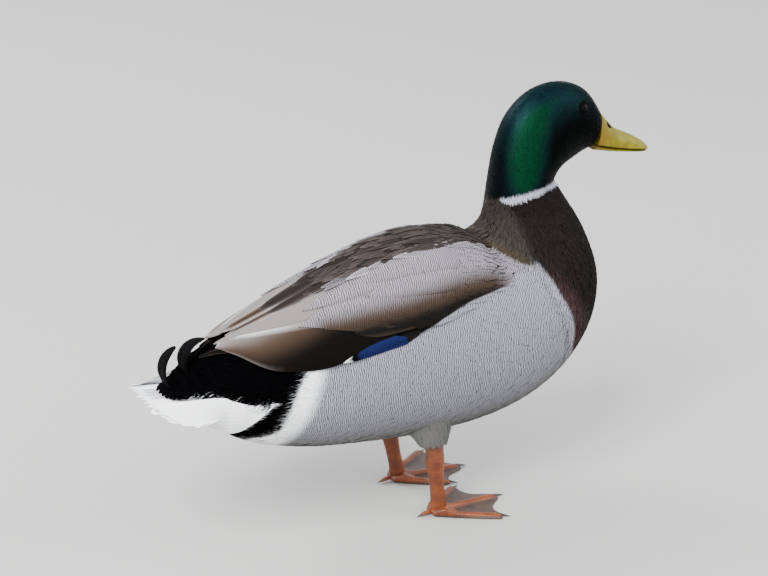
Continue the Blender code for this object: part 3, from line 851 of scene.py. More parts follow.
def loft_object(name, rings):
    """A closed smooth shape through rings of equal point counts."""
    rings = np.asarray(rings)
    steps, count = rings.shape[:2]
    faces = []
    for r in range(steps - 1):
        for i in range(count):
            a, b = r * count + i, r * count + (i + 1) % count
            faces.append((a, b, b + count, a + count))
    faces.append(tuple(range(count - 1, -1, -1)))
    faces.append(tuple((steps - 1) * count + i for i in range(count)))
    mesh = bpy.data.meshes.new(name)
    mesh.from_pydata(rings.reshape(-1, 3).tolist(), [], faces)
    shape = bmesh.new()
    shape.from_mesh(mesh)
    bmesh.ops.recalc_face_normals(shape, faces=shape.faces)
    shape.to_mesh(mesh)
    shape.free()
    mesh.shade_smooth()
    mesh.set_sharp_from_angle(angle=math.radians(60))
    return add_object(name, mesh)


def body_places(points):
    """The nearest (t, angle) on the body for each point."""
    t, angle = body_grid(np.arange(0, LAST_STATION + 0.01, 0.1), np.arange(-180, 180, 3))
    places = bare(t, angle)
    tree = kdtree.KDTree(len(places))
    for number, place in enumerate(places.tolist()):
        tree.insert(place, number)
    tree.balance()
    nearest = np.array([tree.find(point)[1] for point in points.tolist()])
    return t[nearest], angle[nearest]


# ---- skin ------------------------------------------------------------------------------------
FLESH = ["head", "neck", "breast", "trunk", "rump"] + [
    f"{part}_{word}" for part in ("wing", "tertials", "thigh") for _, word in SIDES
]
EYE_STATION = 17.42
EYE_ANGLE = math.radians(62.5)
EYE_RADIUS = 0.0056
EYE_PROUD = 0.0016
LID_AHEAD = np.array([1.0, 0.0, -0.30])
LID_STEPS, LID_POINTS = 48, 12
BARE_LID = (0.0072, 0.0082)
BARE_LID_COLOUR = np.array([0.0010, 0.0010, 0.0010, 0])
HEM_HEIGHT = 0.014
HEM_RAISE = 0.0055


def eye_place(side):
    """Centre of an eye and the way that it looks."""
    t, angle = np.array(EYE_STATION), np.array(side * EYE_ANGLE)
    out = outward(t, angle)
    return bare(t, angle) - out * (EYE_RADIUS - EYE_PROUD), out


def lid_ring(side, word):
    """The rim of bare skin round an eye, almond shaped, with an upper and a lower lid."""
    centre, out = eye_place(side)
    ahead = unit(LID_AHEAD - out * np.dot(out, LID_AHEAD))
    up = np.cross(ahead, out) * side
    up = up if up[2] > 0 else -up
    rings = []
    for i in range(LID_STEPS + 1):
        turn = math.tau * i / LID_STEPS
        corner = math.cos(turn) ** 2
        lid = 0.13 if math.sin(turn) > 0 else 0.08
        opening = math.asin(0.44 - lid * (1 - corner) + 0.06 * corner + 0.06)
        way = unit(ahead * math.cos(turn) + up * math.sin(turn))
        ring = []
        for k in range(LID_POINTS):
            round_rim = k * math.tau / LID_POINTS
            bend = opening + 0.34 + 0.34 * math.cos(round_rim)
            reach = EYE_RADIUS * 1.03 + 0.00030 * math.sin(round_rim)
            ring.append(centre + (way * math.sin(bend) + out * math.cos(bend)) * reach)
        rings.append(ring)
    return loft_object(f"lid_{word}", rings)


class MALLARD_OT_skin(bpy.types.Operator):
    """One skin under the coat, with lids round the eyes"""
    bl_idname = "mallard.skin"
    bl_label = "Skin"

    def execute(self, context):
        coat = context.scene.mallard_coat
        skin = join([copy_node(node, f"flesh_{node}") for node in FLESH], "skin")
        modify(skin, "REMESH", mode="VOXEL", voxel_size=coat.skin_detail)
        modify(skin, "SMOOTH", factor=0.5, iterations=6)
        self.sink(skin, coat)
        skin = join([skin] + [lid_ring(side, word) for side, word in SIDES], "skin")
        self.colour(skin)
        skin.data.shade_smooth()
        material = plumage_material("skin_down", 3.0, 2.0, rough=0.85, gloss=0.03)
        finish_piece(skin, material, "plumage_grey", *FLESH)
        return {"FINISHED"}

    def sink(self, skin, coat):
        """Moves the skin in by the coat's depth, less on the head and legs, and lifts the thighs' hems."""
        points = coordinates(skin)
        on_head = between(body_places(points)[0], 12.0, 13.5)
        near_leg = between(points[:, 2], 0.078, 0.066)
        depth = coat.depth + (coat.head_depth - coat.depth) * np.maximum(on_head, near_leg)
        set_coordinates(skin, points - normals(skin) * depth[:, None])
        points, foot = coordinates(skin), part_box("thigh_left")[0].z
        hem = 1 - between(points[:, 2], foot, foot + HEM_HEIGHT)
        points[:, 2] += HEM_RAISE * hem * (np.abs(points[:, 2] - foot) < HEM_HEIGHT)
        set_coordinates(skin, points)

    def colour(self, skin):
        """Colours the skin as the coat over it, and near black close to the eyes."""
        points = coordinates(skin)
        t, angle = body_places(points)
        centres = [eye_place(side)[0] for side, _ in SIDES]
        away = np.min([np.linalg.norm(points - centre, axis=1) for centre in centres], axis=0)
        near_eye = 1 - between(away, *BARE_LID)[:, None]
        tint = markings(t, angle) * (1 - near_eye) + BARE_LID_COLOUR * near_eye
        set_attribute(skin.data, "tint", "FLOAT_COLOR", tint)
        lie = np.stack([np.degrees(angle) / 20, t * 3, t * 0], -1)
        set_attribute(skin.data, "lie", "FLOAT_VECTOR", lie)


# ---- coat ------------------------------------------------------------------------------------
EYE_CLEARANCE = 0.0058


def clear_of_eyes(t, angle):
    """Where head feathers leave the eyes open."""
    points = bare(t, angle)
    away = [np.linalg.norm(points - eye_place(side)[0], axis=-1) for side, _ in SIDES]
    return np.min(away, axis=0) > EYE_CLEARANCE


def under_wing(t, d):
    """Well inside the wing's outline, where body feathers would never show."""
    return (d < wing_row(t)[1] - 10) & (t > 1.75) & (t < 7.1)


def lower_breast(t, d):
    """Where the breast is dark."""
    return t > border(BREAST_FOOT, d) - 0.15


def in_wedge(t, d):
    """The white sides of the tail, clear of their black fringe."""
    return (d > border(WEDGE_TOP, t) + 2) & (d < border(WEDGE_FOOT, t) - 1) & (t < 2.1)


def flank(t, d):
    """The finely lined sides between breast and rump."""
    behind_breast = ~lower_breast(t, d) & (d > border(HINDNECK_EDGE, t))
    return behind_breast & (d < 132) & (t > border(BLACK_FRONT, d) + 0.45) & ~under_wing(t, d)


def rear_flank(t, d):
    """The narrow white patch before the black rump."""
    black = border(BLACK_FRONT, d)
    return (d > 52) & (t > black + 0.1) & (t < black + 0.75) & ~under_wing(t, d)


def all_black(t, angle):
    """A colour rule with nothing but black."""
    return coat_of("black", np.shape(t))


FLANK_VANES = Vanes(0.0200, 0.0046, -0.0009, 0.0002, 6, 9, 0.45, 0.07, 5, shade=0.015, soft=0.9)
COAT = {
    # name: where, by station, angle and degrees from the back; spacing; kind of feather;
    # the barbs' length and width in millimetres; the record's slot
    "coat_head": (
        lambda t, a, d: (t > border(COLLAR_TOP, d) - 0.02) & clear_of_eyes(t, a),
        0.00105, Vanes(0.0042, 0.00072, -0.0008, 0.0001, 3, 3, 0.5, 0.12, 5, shade=0.07, soft=0.85),
        (4.4, 0.9), "plumage_green",
    ),
    "coat_collar": (
        lambda t, a, d: (t > 11.35) & (t <= border(COLLAR_TOP, d) + 0.06),
        0.00105, Vanes(0.0036, 0.00052, -0.0010, 0.0002, 3, 3, 0.6, 0.20, 7, shade=0.08, soft=0.85,
                       smooth=False),
        (4.6, 0.8), "plumage_white",
    ),
    "coat_neck": (
        lambda t, a, d: (t > 9.2) & (t <= 11.5),
        0.00140, Vanes(0.0086, 0.00078, -0.0013, 0.0003, 4, 3, 0.6, 0.18, 7, shade=0.15),
        (8.8, 1.0), "plumage_chestnut",
    ),
    "coat_breast": (
        lambda t, a, d: (t > 6.4) & (t <= 9.3) & (lower_breast(t, d) | (d < border(HINDNECK_EDGE, t) + 1)),
        0.00190, Vanes(0.0090, 0.00180, -0.0011, 0.0002, 4, 5, 0.5, 0.14, 7, shade=0.07, soft=0.85),
        (9.0, 1.9), "plumage_chestnut",
    ),
    "coat_flank_left": (
        lambda t, a, d: (a > 0) & flank(t, d), 0.0034, FLANK_VANES, (20.0, 4.8), "plumage_grey",
    ),
    "coat_flank_right": (
        lambda t, a, d: (a <= 0) & flank(t, d), 0.0034, FLANK_VANES, (20.0, 4.8), "plumage_grey",
    ),
    "coat_belly": (
        lambda t, a, d: (d >= 126) & (t > 2.3) & ~lower_breast(t, d),
        0.0032, Vanes(0.0170, 0.0034, -0.0009, 0.0003, 5, 7, 0.5, 0.14, 7, shade=0.02, soft=0.9),
        (17.0, 3.4), "plumage_white",
    ),
    "coat_rear_flank": (
        lambda t, a, d: rear_flank(t, d),
        0.0021, Vanes(0.0150, 0.0015, -0.0008, 0.0006, 5, 5, 0.7, 0.22, 7, shade=0.02, soft=0.85),
        (15.0, 1.8), "plumage_white",
    ),
    "coat_rump": (
        lambda t, a, d: (t < border(BLACK_FRONT, d) + 0.2) & ~under_wing(t, d) & ~in_wedge(t, d),
        0.0019, Vanes(0.0125, 0.00105, -0.0014, 0.0003, 4, 3, 0.7, 0.2, 8, shade=0.10, soft=0.8),
        (12.5, 1.3), "plumage_black",
    ),
    "coat_rump_fringe": (
        lambda t, a, d: (t < 2.2) & (np.abs(d - border(WEDGE_TOP, t) + 2) < 4),
        0.0010, Vanes(0.0085, 0.00038, -0.0004, 0.0014, 4, 3, 0.6, 0.4, 12, shade=0.05, soft=0.8),
        (12.5, 1.3), "plumage_black",
    ),
}
THIGH_FEATHERS = 1500


class MALLARD_OT_coat(bpy.types.Operator):
    """Small feathers over the head, neck, breast, flanks, belly and rump"""
    bl_idname = "mallard.coat"
    bl_label = "Coat"

    def execute(self, context):
        seed = context.scene.mallard_coat.seed
        for number, (name, (region, spacing, kind, barbs, slot)) in enumerate(COAT.items()):
            rng = np.random.default_rng(seed + number)
            t, angle = spread_roots(region, spacing, rng)
            forward, colours, size = flow_back(t, angle), markings, None
            material, looks = f"{name}_feathers", {"gloss": 0.1}
            if name == "coat_head":
                size = 1 - 0.35 * between(t, 15.8, 17.4)
                material, looks = "head_feathers", {"rough": 0.42, "metal": 0.5, "gloss": 0.05, "barb": 0.45}
            if name.startswith("coat_rump"):
                forward = self.over_wedge(t, angle)
                material, looks = "rump_feathers", {"rough": 0.95, "gloss": 0.02}
            if name == "coat_rump_fringe":
                colours = all_black
            obj = grow(name, t, angle, kind, colours, rng, forward, size)
            finish_piece(obj, plumage_material(material, *barbs, **looks), slot)
        for side, word in SIDES:
            self.thigh(word, np.random.default_rng(seed + 40 + side))
        return {"FINISHED"}

    def over_wedge(self, t, angle):
        """Rump feathers lean down over the upper edge of the tail's white sides."""
        d, top = degrees(angle), border(WEDGE_TOP, t)
        near = between(d, top - 16, top) * (t < 2.3) * (d < top + 3)
        return unit(flow_back(t, angle) + flow_down(t, angle) * near[:, None] * 0.8)

    def thigh(self, word, rng):
        """Short soft feathers down a thigh, ending in a ragged hem above the leg."""
        low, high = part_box(f"thigh_{word}")
        ring = coordinates(frame["nodes"][f"thigh_{word}"])
        z = low.z + 0.005 + (high.z - low.z - 0.005) * rng.uniform(0, 1, THIGH_FEATHERS)
        turn = rng.uniform(0, math.tau, THIGH_FEATHERS)
        heights = np.linspace(low.z, high.z, 6)
        spans = [ring[np.abs(ring[:, 2] - height) < 0.005] for height in heights]
        centre = np.array([(span.max(0) + span.min(0)) / 2 for span in spans])
        half = np.array([(span.max(0) - span.min(0)) / 2 for span in spans])

        def at(height, axis, way, out):
            """One coordinate of a point round the thigh."""
            middle, wide = (np.interp(height, heights, sizes[:, axis]) for sizes in (centre, half))
            return middle + (wide + out) * way

        s, w = vane_grid(4, 5)
        each = (THIGH_FEATHERS, 1, 1)
        long = 0.010 * rng.uniform(0.7, 1.1, each)
        reach = s * (1 - 0.5 * np.abs(w) ** 2 - 0.15 * rng.uniform(0, 1, each))
        hem = low.z + rng.uniform(0.0005, 0.0070, each)
        height = np.maximum(z[:, None, None] - reach * long, hem)
        wide = 0.0016 / np.interp(z, heights, half[:, 0])[:, None, None]
        angle = turn[:, None, None] + w * wide * (1 - 0.3 * s)
        out = -0.0009 + 0.0011 * reach + 0.0001 * (1 - np.abs(w))
        out = out + 0.0022 * between(height, low.z + 0.008, high.z) * between(np.cos(angle), -0.2, 0.6)
        points = [at(height, 0, np.cos(angle), out), at(height, 1, np.sin(angle), out), height]
        # the belly's colour, with its painted shade, a little darker again
        tint = coat_of("belly", angle.shape)
        tint[..., :3] *= 0.88 + rng.normal(0, 0.03, (*each, 1))
        lie = np.stack(np.broadcast_arrays(w, s, rng.uniform(0, 1, each)), -1)
        obj = feather_object(
            f"coat_thigh_{word}", np.stack(points, -1), np.clip(tint, 0, 1), lie, bake_patch(z, turn, s, w),
            body=np.stack([np.cos(angle), np.sin(angle), np.full_like(angle, -0.2)], -1), soft=0.8, deep=4.0,
        )
        finish_piece(obj, plumage_material("thigh_feathers", 10.0, 1.6), "plumage_white")


# ---- wings -----------------------------------------------------------------------------------
def closing(s, start, power):
    """The width of a feather along it: 1, then falling to 0 at a rounded tip."""
    return 1 - np.clip((s - start) / (1 - start), 0, 1) ** power


def bulge(value, width):
    """1 at zero and falling away smoothly on both sides."""
    return np.exp(-((value / width) ** 2))


def mirrored(*grids):
    """The same grids turned over, so that their faces look the other way."""
    return tuple(grid[:, ::-1] for grid in grids)


def blade(stations, tips, *turns, side, base, rule, close=0.86, arch=0.0008, thick=0.0006, dip=0.0):
    """A large feather between three lines: its upper edge, its shaft and its lower edge.

    Each line runs through the shared stations to its own tip, at its own turns in degrees. The
    feather lies at the height base, and its root lower by dip. Its colours come from rule(along,
    across, t, angle).
    """
    s, w = vane_grid(26, 15)
    upper, shaft, lower = (
        curve(np.stack([(*stations, tip), turn], -1), s[:, 0] * len(stations))[:, None]
        for tip, turn in zip(tips, turns)
    )
    edge = np.where(w[..., None] < 0, upper, lower)
    grid = shaft + (edge - shaft) * (np.abs(w) * closing(s, close, 2.4))[..., None]
    t, angle = grid[..., 0], np.radians(grid[..., 1]) * side
    height = base + arch * (1 - np.abs(w) ** 1.5) - dip * (1 - between(s, 0.0, 0.22))
    ridge = 0.00035 * bulge(w, 0.07) * (1 - 0.7 * s)
    top = surface(t, angle, height + ridge, True)
    under = surface(t, angle, height - thick, True)
    sheets = top, under, rule(s, w, t, angle)
    return mirrored(*sheets) if side > 0 else sheets


def blades_object(name, feathers, rng):
    """Large feathers, each as (top, under, tint), as one object."""
    tops, unders, tints = (np.array(part) for part in zip(*feathers))
    count, rows, columns = tops.shape[:3]
    s, w = vane_grid(rows, columns)
    lie = np.stack(np.broadcast_arrays(w, s, rng.uniform(0, 1, (count, 1, 1))), -1)
    column = (np.arange(count) + 0.5)[:, None, None] / count + w * 0.46 / count
    patch = np.stack(np.broadcast_arrays(column, 0.02 + 0.46 * s), -1)
    return feather_object(name, tops, tints, lie, patch, unders)


def tint_rule(base, edge=None, centre=None, shaft=None, rim=0.8, core=1.0):
    """A colour rule for a large feather: its base, edges, dark centre and shaft line."""
    def rule(s, w, t=None, angle=None):
        out, across = coat_of(base, s.shape), np.abs(w)
        if centre:
            out = lay(out, centre, (1 - between(across, 0.35, 0.8)) * (1 - between(s, 0.86, 0.97)) * core)
        if edge:
            out = lay(out, edge, np.maximum(between(across, 0.86, 0.99), between(s, 0.965, 0.995)) * rim)
        if shaft:
            out = lay(out, shaft, (1 - between(across, 0.0, 0.09)) * 0.9)
        return out
    return rule


def wing_bar(s, w, t, angle):
    """Blue with a black and a white rear edge."""
    out = lay(coat_of("blue", s.shape), "black", between(s, 0.78, 0.84))
    return lay(out, "white", between(s, 0.90, 0.94))


def lowest_tertial(s, w, t, angle):
    """The big lowest tertial: silver above its shaft, silver to brown to near black below it."""
    out = coat_of("silver", s.shape)
    below = between(w, 0.02, 0.10)
    depth = w * 0.9 + (1 - s) * 1.5
    out = lay(out, "brown", below * between(depth, 0.40, 1.05))
    out = lay(out, "dark_brown", below * between(depth, 0.90, 1.50))
    out = lay(out, "silver", between(w, 0.94, 0.99) * 0.35 * between(s, 0.5, 0.7))
    return lay(out, "white", (1 - between(np.abs(w), 0.0, 0.04)) * between(s, 0.3, 0.6) * 0.35)


def shoulder_rule(s, w, t, angle):
    """A long shoulder feather: the wing's colours with a darker lower edge."""
    darker = between(w, 0.55, 0.98) * 0.35 * (1 - between(s, 0.75, 0.95))
    return lay(wing_markings(t, angle), "brown", darker, 0.6)


PRIMARY = tint_rule("dark_brown", "mantle", shaft="mantle")
BROWN_CENTRE = tint_rule("silver", "collar", centre="brown", shaft="dark_brown", rim=0.3)
DARK_CENTRE = tint_rule("mantle", "silver", centre="dark_brown", rim=0.5, core=0.6)
PALE = tint_rule("silver", "brown", rim=0.25)
# Stations from the root on, each line's own station at the tip, degrees along the upper edge, the
# shaft and the lower edge, then height and colours.
LARGE_FEATHERS = (
    # two primary tips, under everything
    ((2.9, 2.2, 1.5), (1.16, 1.12, 1.18),
     (30, 16, 8, 6), (34, 20, 11, 8), (38, 25, 15, 10), -0.0040, PRIMARY),
    ((3.0, 2.3, 1.7), (1.38, 1.34, 1.40),
     (34, 22, 11, 8), (38, 26, 15, 10), (42, 31, 20, 13), -0.0032, PRIMARY),
    # a sliver of the wing bar
    ((4.34, 4.12, 3.8), (3.42, 3.36, 3.42),
     (64, 60.5, 60, 63), (66, 63.5, 63.5, 64.5), (68, 68, 67.5, 66), -0.0009, wing_bar),
    # the lowest tertial and the one above it
    ((4.25, 3.5, 2.9, 2.3, 1.85), (1.58, 1.56, 1.60),
     (40, 33, 22, 11, 6.5, 11), (46, 38, 28.5, 18, 9, 13), (60, 64.5, 62, 51, 28, 15),
     -0.0006, lowest_tertial),
    ((4.3, 3.4, 2.7, 2.1), (1.62, 1.58, 1.64),
     (20, 12, 7, 4, 5), (26, 18, 13, 8, 8), (38, 32, 24, 15, 11), 0.0001, PALE),
    # three upper tertials with dark centres
    ((4.5, 3.7, 3.0, 2.4), (1.95, 1.90, 1.95),
     (4, 1, 0, 0, 1), (10, 6, 4.5, 4, 4), (18, 14, 11, 9, 7), 0.0007, BROWN_CENTRE),
    ((4.7, 4.1, 3.5, 3.0), (2.66, 2.62, 2.66),
     (2, -1, -1, 0, 2), (8, 5, 5, 5, 5), (16, 14, 12.5, 11, 8), 0.0012, DARK_CENTRE),
    ((4.9, 4.4, 3.9, 3.5), (3.26, 3.22, 3.26),
     (4, 2, 2, 3, 5), (10, 9, 8, 8, 8), (18, 17, 15, 14, 11), 0.0016, DARK_CENTRE),
)
# The same without colours, for the long rear feathers of the shoulder.
LONG_SHOULDER = (
    ((5.6, 4.8, 4.0), (3.62, 3.58, 3.60),
     (50, 49, 47, 48), (54, 54, 52, 51), (58, 61, 59, 54), 0.0002),
    ((5.4, 4.5, 3.8), (3.26, 3.22, 3.28),
     (42, 42, 38, 38), (50, 48, 44, 40), (58, 58, 53, 44), 0.0006),
    ((5.2, 4.2, 3.4), (2.96, 2.92, 2.97),
     (34, 31, 27, 29), (42, 40, 34, 31), (52, 51, 43, 34), 0.0010),
    ((5.2, 4.3, 3.6), (3.12, 3.08, 3.13),
     (20, 18, 16, 19), (28, 26, 22, 21.5), (40, 36, 30, 25), 0.0014),
    ((5.7, 5.0, 4.3), (3.84, 3.80, 3.84),
     (22, 20, 17, 19), (28, 27, 23, 22), (36, 36, 31, 26), 0.0019),
    ((5.6, 5.0, 4.4), (3.94, 3.90, 3.95),
     (34, 33, 30, 31), (40, 39, 36, 34), (47, 47, 43, 38), 0.0017),
)
SHOULDER_BLADE = {"rule": shoulder_rule, "close": 0.62, "arch": 0.0006, "thick": 0.0005, "dip": 0.0028}
# Borders of the short shoulder feathers where the long ones begin.
REAR_TOP = ((4.0, 34), (4.4, 24), (4.8, 19))
REAR_FOOT = ((3.9, 38), (4.3, 46), (4.7, 54), (5.2, 60))
SHOULDER_VANES = Vanes(
    0.0240, 0.0046, -0.0006, 0.0012, 6, 9, 0.55, 0.06, 3, winged=True, shade=0.015, soft=0.9
)
# Name, foremost station, degrees past the mantle's edge, spacing and kind of feather.
MANTLE = (
    ("mantle", 7.4, 1, 0.0030, Vanes(
        0.0220, 0.0030, -0.0008, 0.0016, 6, 7, 0.65, 0.16, 10, winged=True, smooth=False,
        shade=0.24, pale_edge=0.5, dark_centre=0.45, soft=0.85,
    )),
    ("mantle_long", 5.6, 2, 0.0068, Vanes(
        0.0330, 0.0046, 0.0004, 0.0030, 9, 9, 0.62, 0.12, 9, winged=True, smooth=False,
        shade=0.26, pale_edge=0.9, dark_centre=0.55, soft=0.8,
    )),
)


class MALLARD_OT_wings(bpy.types.Operator):
    """Folded wings: shoulder feathers, tertials, wing bar and primary tips"""
    bl_idname = "mallard.wings"
    bl_label = "Wings"

    def execute(self, context):
        for side, word in SIDES:
            rng = np.random.default_rng(context.scene.mallard_coat.seed + 60 + side)
            self.large(side, word, rng)
            self.shoulder(side, word, rng)
            self.mantle(side, word, rng)
        return {"FINISHED"}

    def large(self, side, word, rng):
        """The primaries, the wing bar and the tertials."""
        feathers = [blade(*lines, side=side, base=base, rule=rule) for *lines, base, rule in LARGE_FEATHERS]
        material = plumage_material("flight_vanes", 60.0, 14.0, rough=0.75, gloss=0.03)
        finish_piece(blades_object(f"flight_feathers_{word}", feathers, rng), material, "plumage_brown")

    def shoulder(self, side, word, rng):
        """The lilac-grey shoulder feathers, short in front and long behind."""
        feathers = [blade(*lines, side=side, base=base, **SHOULDER_BLADE) for *lines, base in LONG_SHOULDER]
        material = plumage_material("shoulder_feathers", 22.0, 4.6, rough=0.75, gloss=0.08, lean=-14.0)
        finish_piece(blades_object(f"long_shoulder_{word}", feathers, rng), material, "plumage_grey")

        def region(t, angle, d):
            top = np.maximum(border(MANTLE_EDGE, t) - 3, border(REAR_TOP, t) * (t < 4.8))
            foot = np.where(t < 5.2, border(REAR_FOOT, t), border(WING_FOOT, t) + 1.5)
            return (np.sign(angle) == side) & (d > top) & (d < foot) & (t > 4.3) & (t < 7.75)

        t, angle = spread_roots(region, 0.0034, rng)
        size = 0.55 + 0.55 * between(t, 7.4, 5.2)
        lean = -0.12 + 0.34 * between(degrees(angle), border(MANTLE_EDGE, t) + 2, border(WING_FOOT, t) - 4)
        forward = unit(flow_back(t, angle) + flow_down(t, angle) * lean[:, None])
        obj = grow(f"shoulder_{word}", t, angle, SHOULDER_VANES, wing_markings, rng, forward, size)
        finish_piece(obj, material, "plumage_grey")

    def mantle(self, side, word, rng):
        """Dark brown, streaky feathers over the back between the wings."""
        material = plumage_material("mantle_feathers", 19.0, 3.0, rough=0.75, gloss=0.1)
        for name, front, past, spacing, kind in MANTLE:
            def region(t, angle, d):
                inside = (d < border(MANTLE_EDGE, t) + past) & (t > 3.9) & (t < front)
                return (np.sign(angle) == side) & inside

            t, angle = spread_roots(region, spacing, rng)
            obj = grow(f"{name}_{word}", t, angle, kind, markings, rng)
            finish_piece(obj, material, "plumage_brown")


# ---- tail ------------------------------------------------------------------------------------
TAIL_ROOT = np.array([-0.150, 0.0, 0.126])
TAIL_LENGTH = 0.0870
TAIL_PAIRS = 9
# Where each row of coverts starts on the rump, and the share of the fan that it covers.
TAIL_COVERS = ((0.2, 0.78), (0.5, 0.73), (0.8, 0.68), (1.2, 0.62))
COVERS_IN_ROW = 13
# Start and end along the tail's side and the number of feathers, from the lowest layer up.
TAIL_SIDES = ((0.30, 1.0, 9), (0.12, 0.80, 9), (0.0, 0.56, 7), (0.0, 0.34, 5))


def tail_place(across, along, lift):
    """A point of the tail fan: across from -1 to 1, along from 0 at the root to 1 at the tip."""
    reach = TAIL_LENGTH * (1 - 0.38 * np.abs(across) ** 3)
    turn = np.radians(15.0 * across)
    x = TAIL_ROOT[0] - along * reach * np.cos(turn)
    y = 0.026 * across + along * reach * np.sin(turn)
    z = TAIL_ROOT[2] + 0.0125 * along - 0.020 * (np.abs(y) / 0.042) ** 3.5 + lift
    return np.stack([x, y, z], -1) + SHIFT


def side_place(side, along, down):
    """A point of the tail's white side: along from its front tip to the rear, down from 0 to 1."""
    knots = []
    for station in (2.24, 1.85, 1.45, 1.08):
        top, foot = border(WEDGE_TOP, station), border(WEDGE_FOOT, station)
        angle = np.radians(top + (foot - top) * down) * side
        knots.append(surface(np.full_like(down, station), angle, 0.0004 + 0.0012 * (2.24 - station)))
    across = side * (1 - 1.1 * np.abs(down - 0.5))
    knots += [tail_place(across, share, (0.5 - down) * 0.004) for share in (0.86, 1.0)]
    weights = curve(np.eye(len(knots)), along * (len(knots) - 1))
    return np.einsum("rcn,nrck->rck", weights, np.array(knots))


class MALLARD_OT_tail(bpy.types.Operator):
    """Eighteen tail feathers, their black coverts and the white feathers along the tail's sides"""
    bl_idname = "mallard.tail"
    bl_label = "Tail"

    def execute(self, context):
        rng = np.random.default_rng(context.scene.mallard_coat.seed + 90)
        grid = vane_grid(24, 11)
        white = plumage_material("tail_vanes", 70.0, 5.0, rough=0.6, barb=0.06)
        black = plumage_material("tail_cover_vanes", 26.0, 3.0, rough=0.95, gloss=0.02, barb=0.3)
        fan = blades_object("tail_feathers", self.fan(*grid, rng), rng)
        finish_piece(fan, white, "plumage_white", "tail")
        covers = blades_object("tail_covers", self.covers(*grid, rng), rng)
        finish_piece(covers, black, "plumage_black")
        for side, word in SIDES:
            vanes = blades_object(f"tail_side_{word}", self.side(side, *grid, rng), rng)
            finish_piece(vanes, white, "plumage_white")
        return {"FINISHED"}

    def fan(self, s, w, rng):
        """Nine pairs of white feathers, each lower than the last from the middle outwards."""
        feathers = []
        for number in range(TAIL_PAIRS):
            rule = tint_rule("white", centre="collar" if number < 2 else None)
            for side, _ in SIDES:
                half = 1.9 / (2 * TAIL_PAIRS) * closing(s, 0.80, 1.7) * (0.8 + 0.2 * s)
                across = np.clip(side * (number + 0.5) / TAIL_PAIRS + w * half, -1.0, 1.0)
                lift = 0.0011 - 0.00030 * number + 0.0003 * (1 - np.abs(w)) - 0.0002 * (w * side)
                along = s * (1.0 - 0.004 * number - rng.uniform(0, 0.035))
                top = tail_place(across, along, lift + 0.0002 * bulge(w, 0.1))
                under = tail_place(across, along, lift - 0.0004)
                feathers.append(mirrored(top, under, rule(s, w)))
        return feathers

    def covers(self, s, w, rng):
        """Rows of black feathers that run from the rump out over the fan."""
        feathers = []
        for start, end in TAIL_COVERS:
            for number in range(COVERS_IN_ROW):
                middle = (number - COVERS_IN_ROW // 2 + rng.uniform(-0.3, 0.3)) * 0.165
                angle = middle + w * 0.17 * closing(s, 0.62, 1.6)
                station = np.full_like(angle, start)
                root = surface(station, angle, 0.0004 + 0.0003 * (1 - np.abs(w)))
                reach = end - 0.05 * middle**2 - rng.uniform(0, 0.03)
                tip = tail_place(0.42 * np.sin(angle), reach, 0.0012)
                top = root + (tip - root) * s[..., None]
                under = top - outward(station, angle) * 0.0005
                feathers.append(mirrored(top, under, tint_rule("black")(s, w)))
        return feathers

    def side(self, side, s, w, rng):
        """Layers of white feathers from the tail's side back to the fan's outer edge."""
        feathers = []
        for layer, (start, end, count) in enumerate(TAIL_SIDES):
            for number in range(count):
                across = (number + 0.5) / count + w * 0.95 / count * closing(s, 0.70, 1.8)
                along = (start + (end - start) * s) * (1 - 0.05 * rng.uniform())
                middle = side_place(side, along, np.clip(across, 0.0, 1.0))
                out = unit(np.cross(np.gradient(middle, axis=0), np.gradient(middle, axis=1))) * side
                lift = 0.0004 * layer - 0.00006 * number + 0.0002 * (1 - np.abs(w))
                top = middle + out * lift[..., None]
                sheets = top, top - out * 0.0004, tint_rule("white")(s, w)
                feathers.append(mirrored(*sheets) if side < 0 else sheets)
        return feathers


CURLS = {
    # centre x and z, radius, start and end in degrees
    "curl_outer": (-0.1945, 0.1540, 0.0192, 232.0, 112.0),
    "curl_inner": (-0.1815, 0.1580, 0.0160, 216.0, 80.0),
}


class MALLARD_OT_curls(bpy.types.Operator):
    """The drake's two pairs of curled black feathers"""
    bl_idname = "mallard.curls"
    bl_label = "Curls"

    def execute(self, context):
        rng = np.random.default_rng(context.scene.mallard_coat.seed + 95)
        s, w = vane_grid(40, 9)
        material = plumage_material("curl_vanes", 40.0, 4.0, rough=0.8, gloss=0.04, barb=0.3)
        for name, (centre_x, centre_z, radius, start, end) in CURLS.items():
            for side, word in SIDES:
                turn = np.radians(start + (end - start) * s)
                ragged = rng.uniform(-0.0002, 0.0002, s.shape) * np.abs(w) ** 4
                half = 0.0046 * np.sqrt(np.clip(1 - s**4 * 0.93, 0, 1))
                y = side * 0.00445 * (1 - 0.85 * s**2) + w * half + ragged
                bow = -0.0009 * w**2 * (1 - s) - side * 0.0004 * s
                sheets = []
                for offset, rib in ((0.0005, 0.0002), (-0.0004, 0.0)):
                    reach = radius + offset + bow + rib * bulge(w, 0.12)
                    x, z = centre_x + reach * np.cos(turn), centre_z + reach * np.sin(turn)
                    sheets.append(np.stack([x, y, z], -1) + SHIFT)
                feathers = [(*sheets, tint_rule("black")(s, w))]
                obj = blades_object(f"{name}_vane_{word}", feathers, rng)
                finish_piece(obj, material, "plumage_black", f"{name}_{word}")
        return {"FINISHED"}


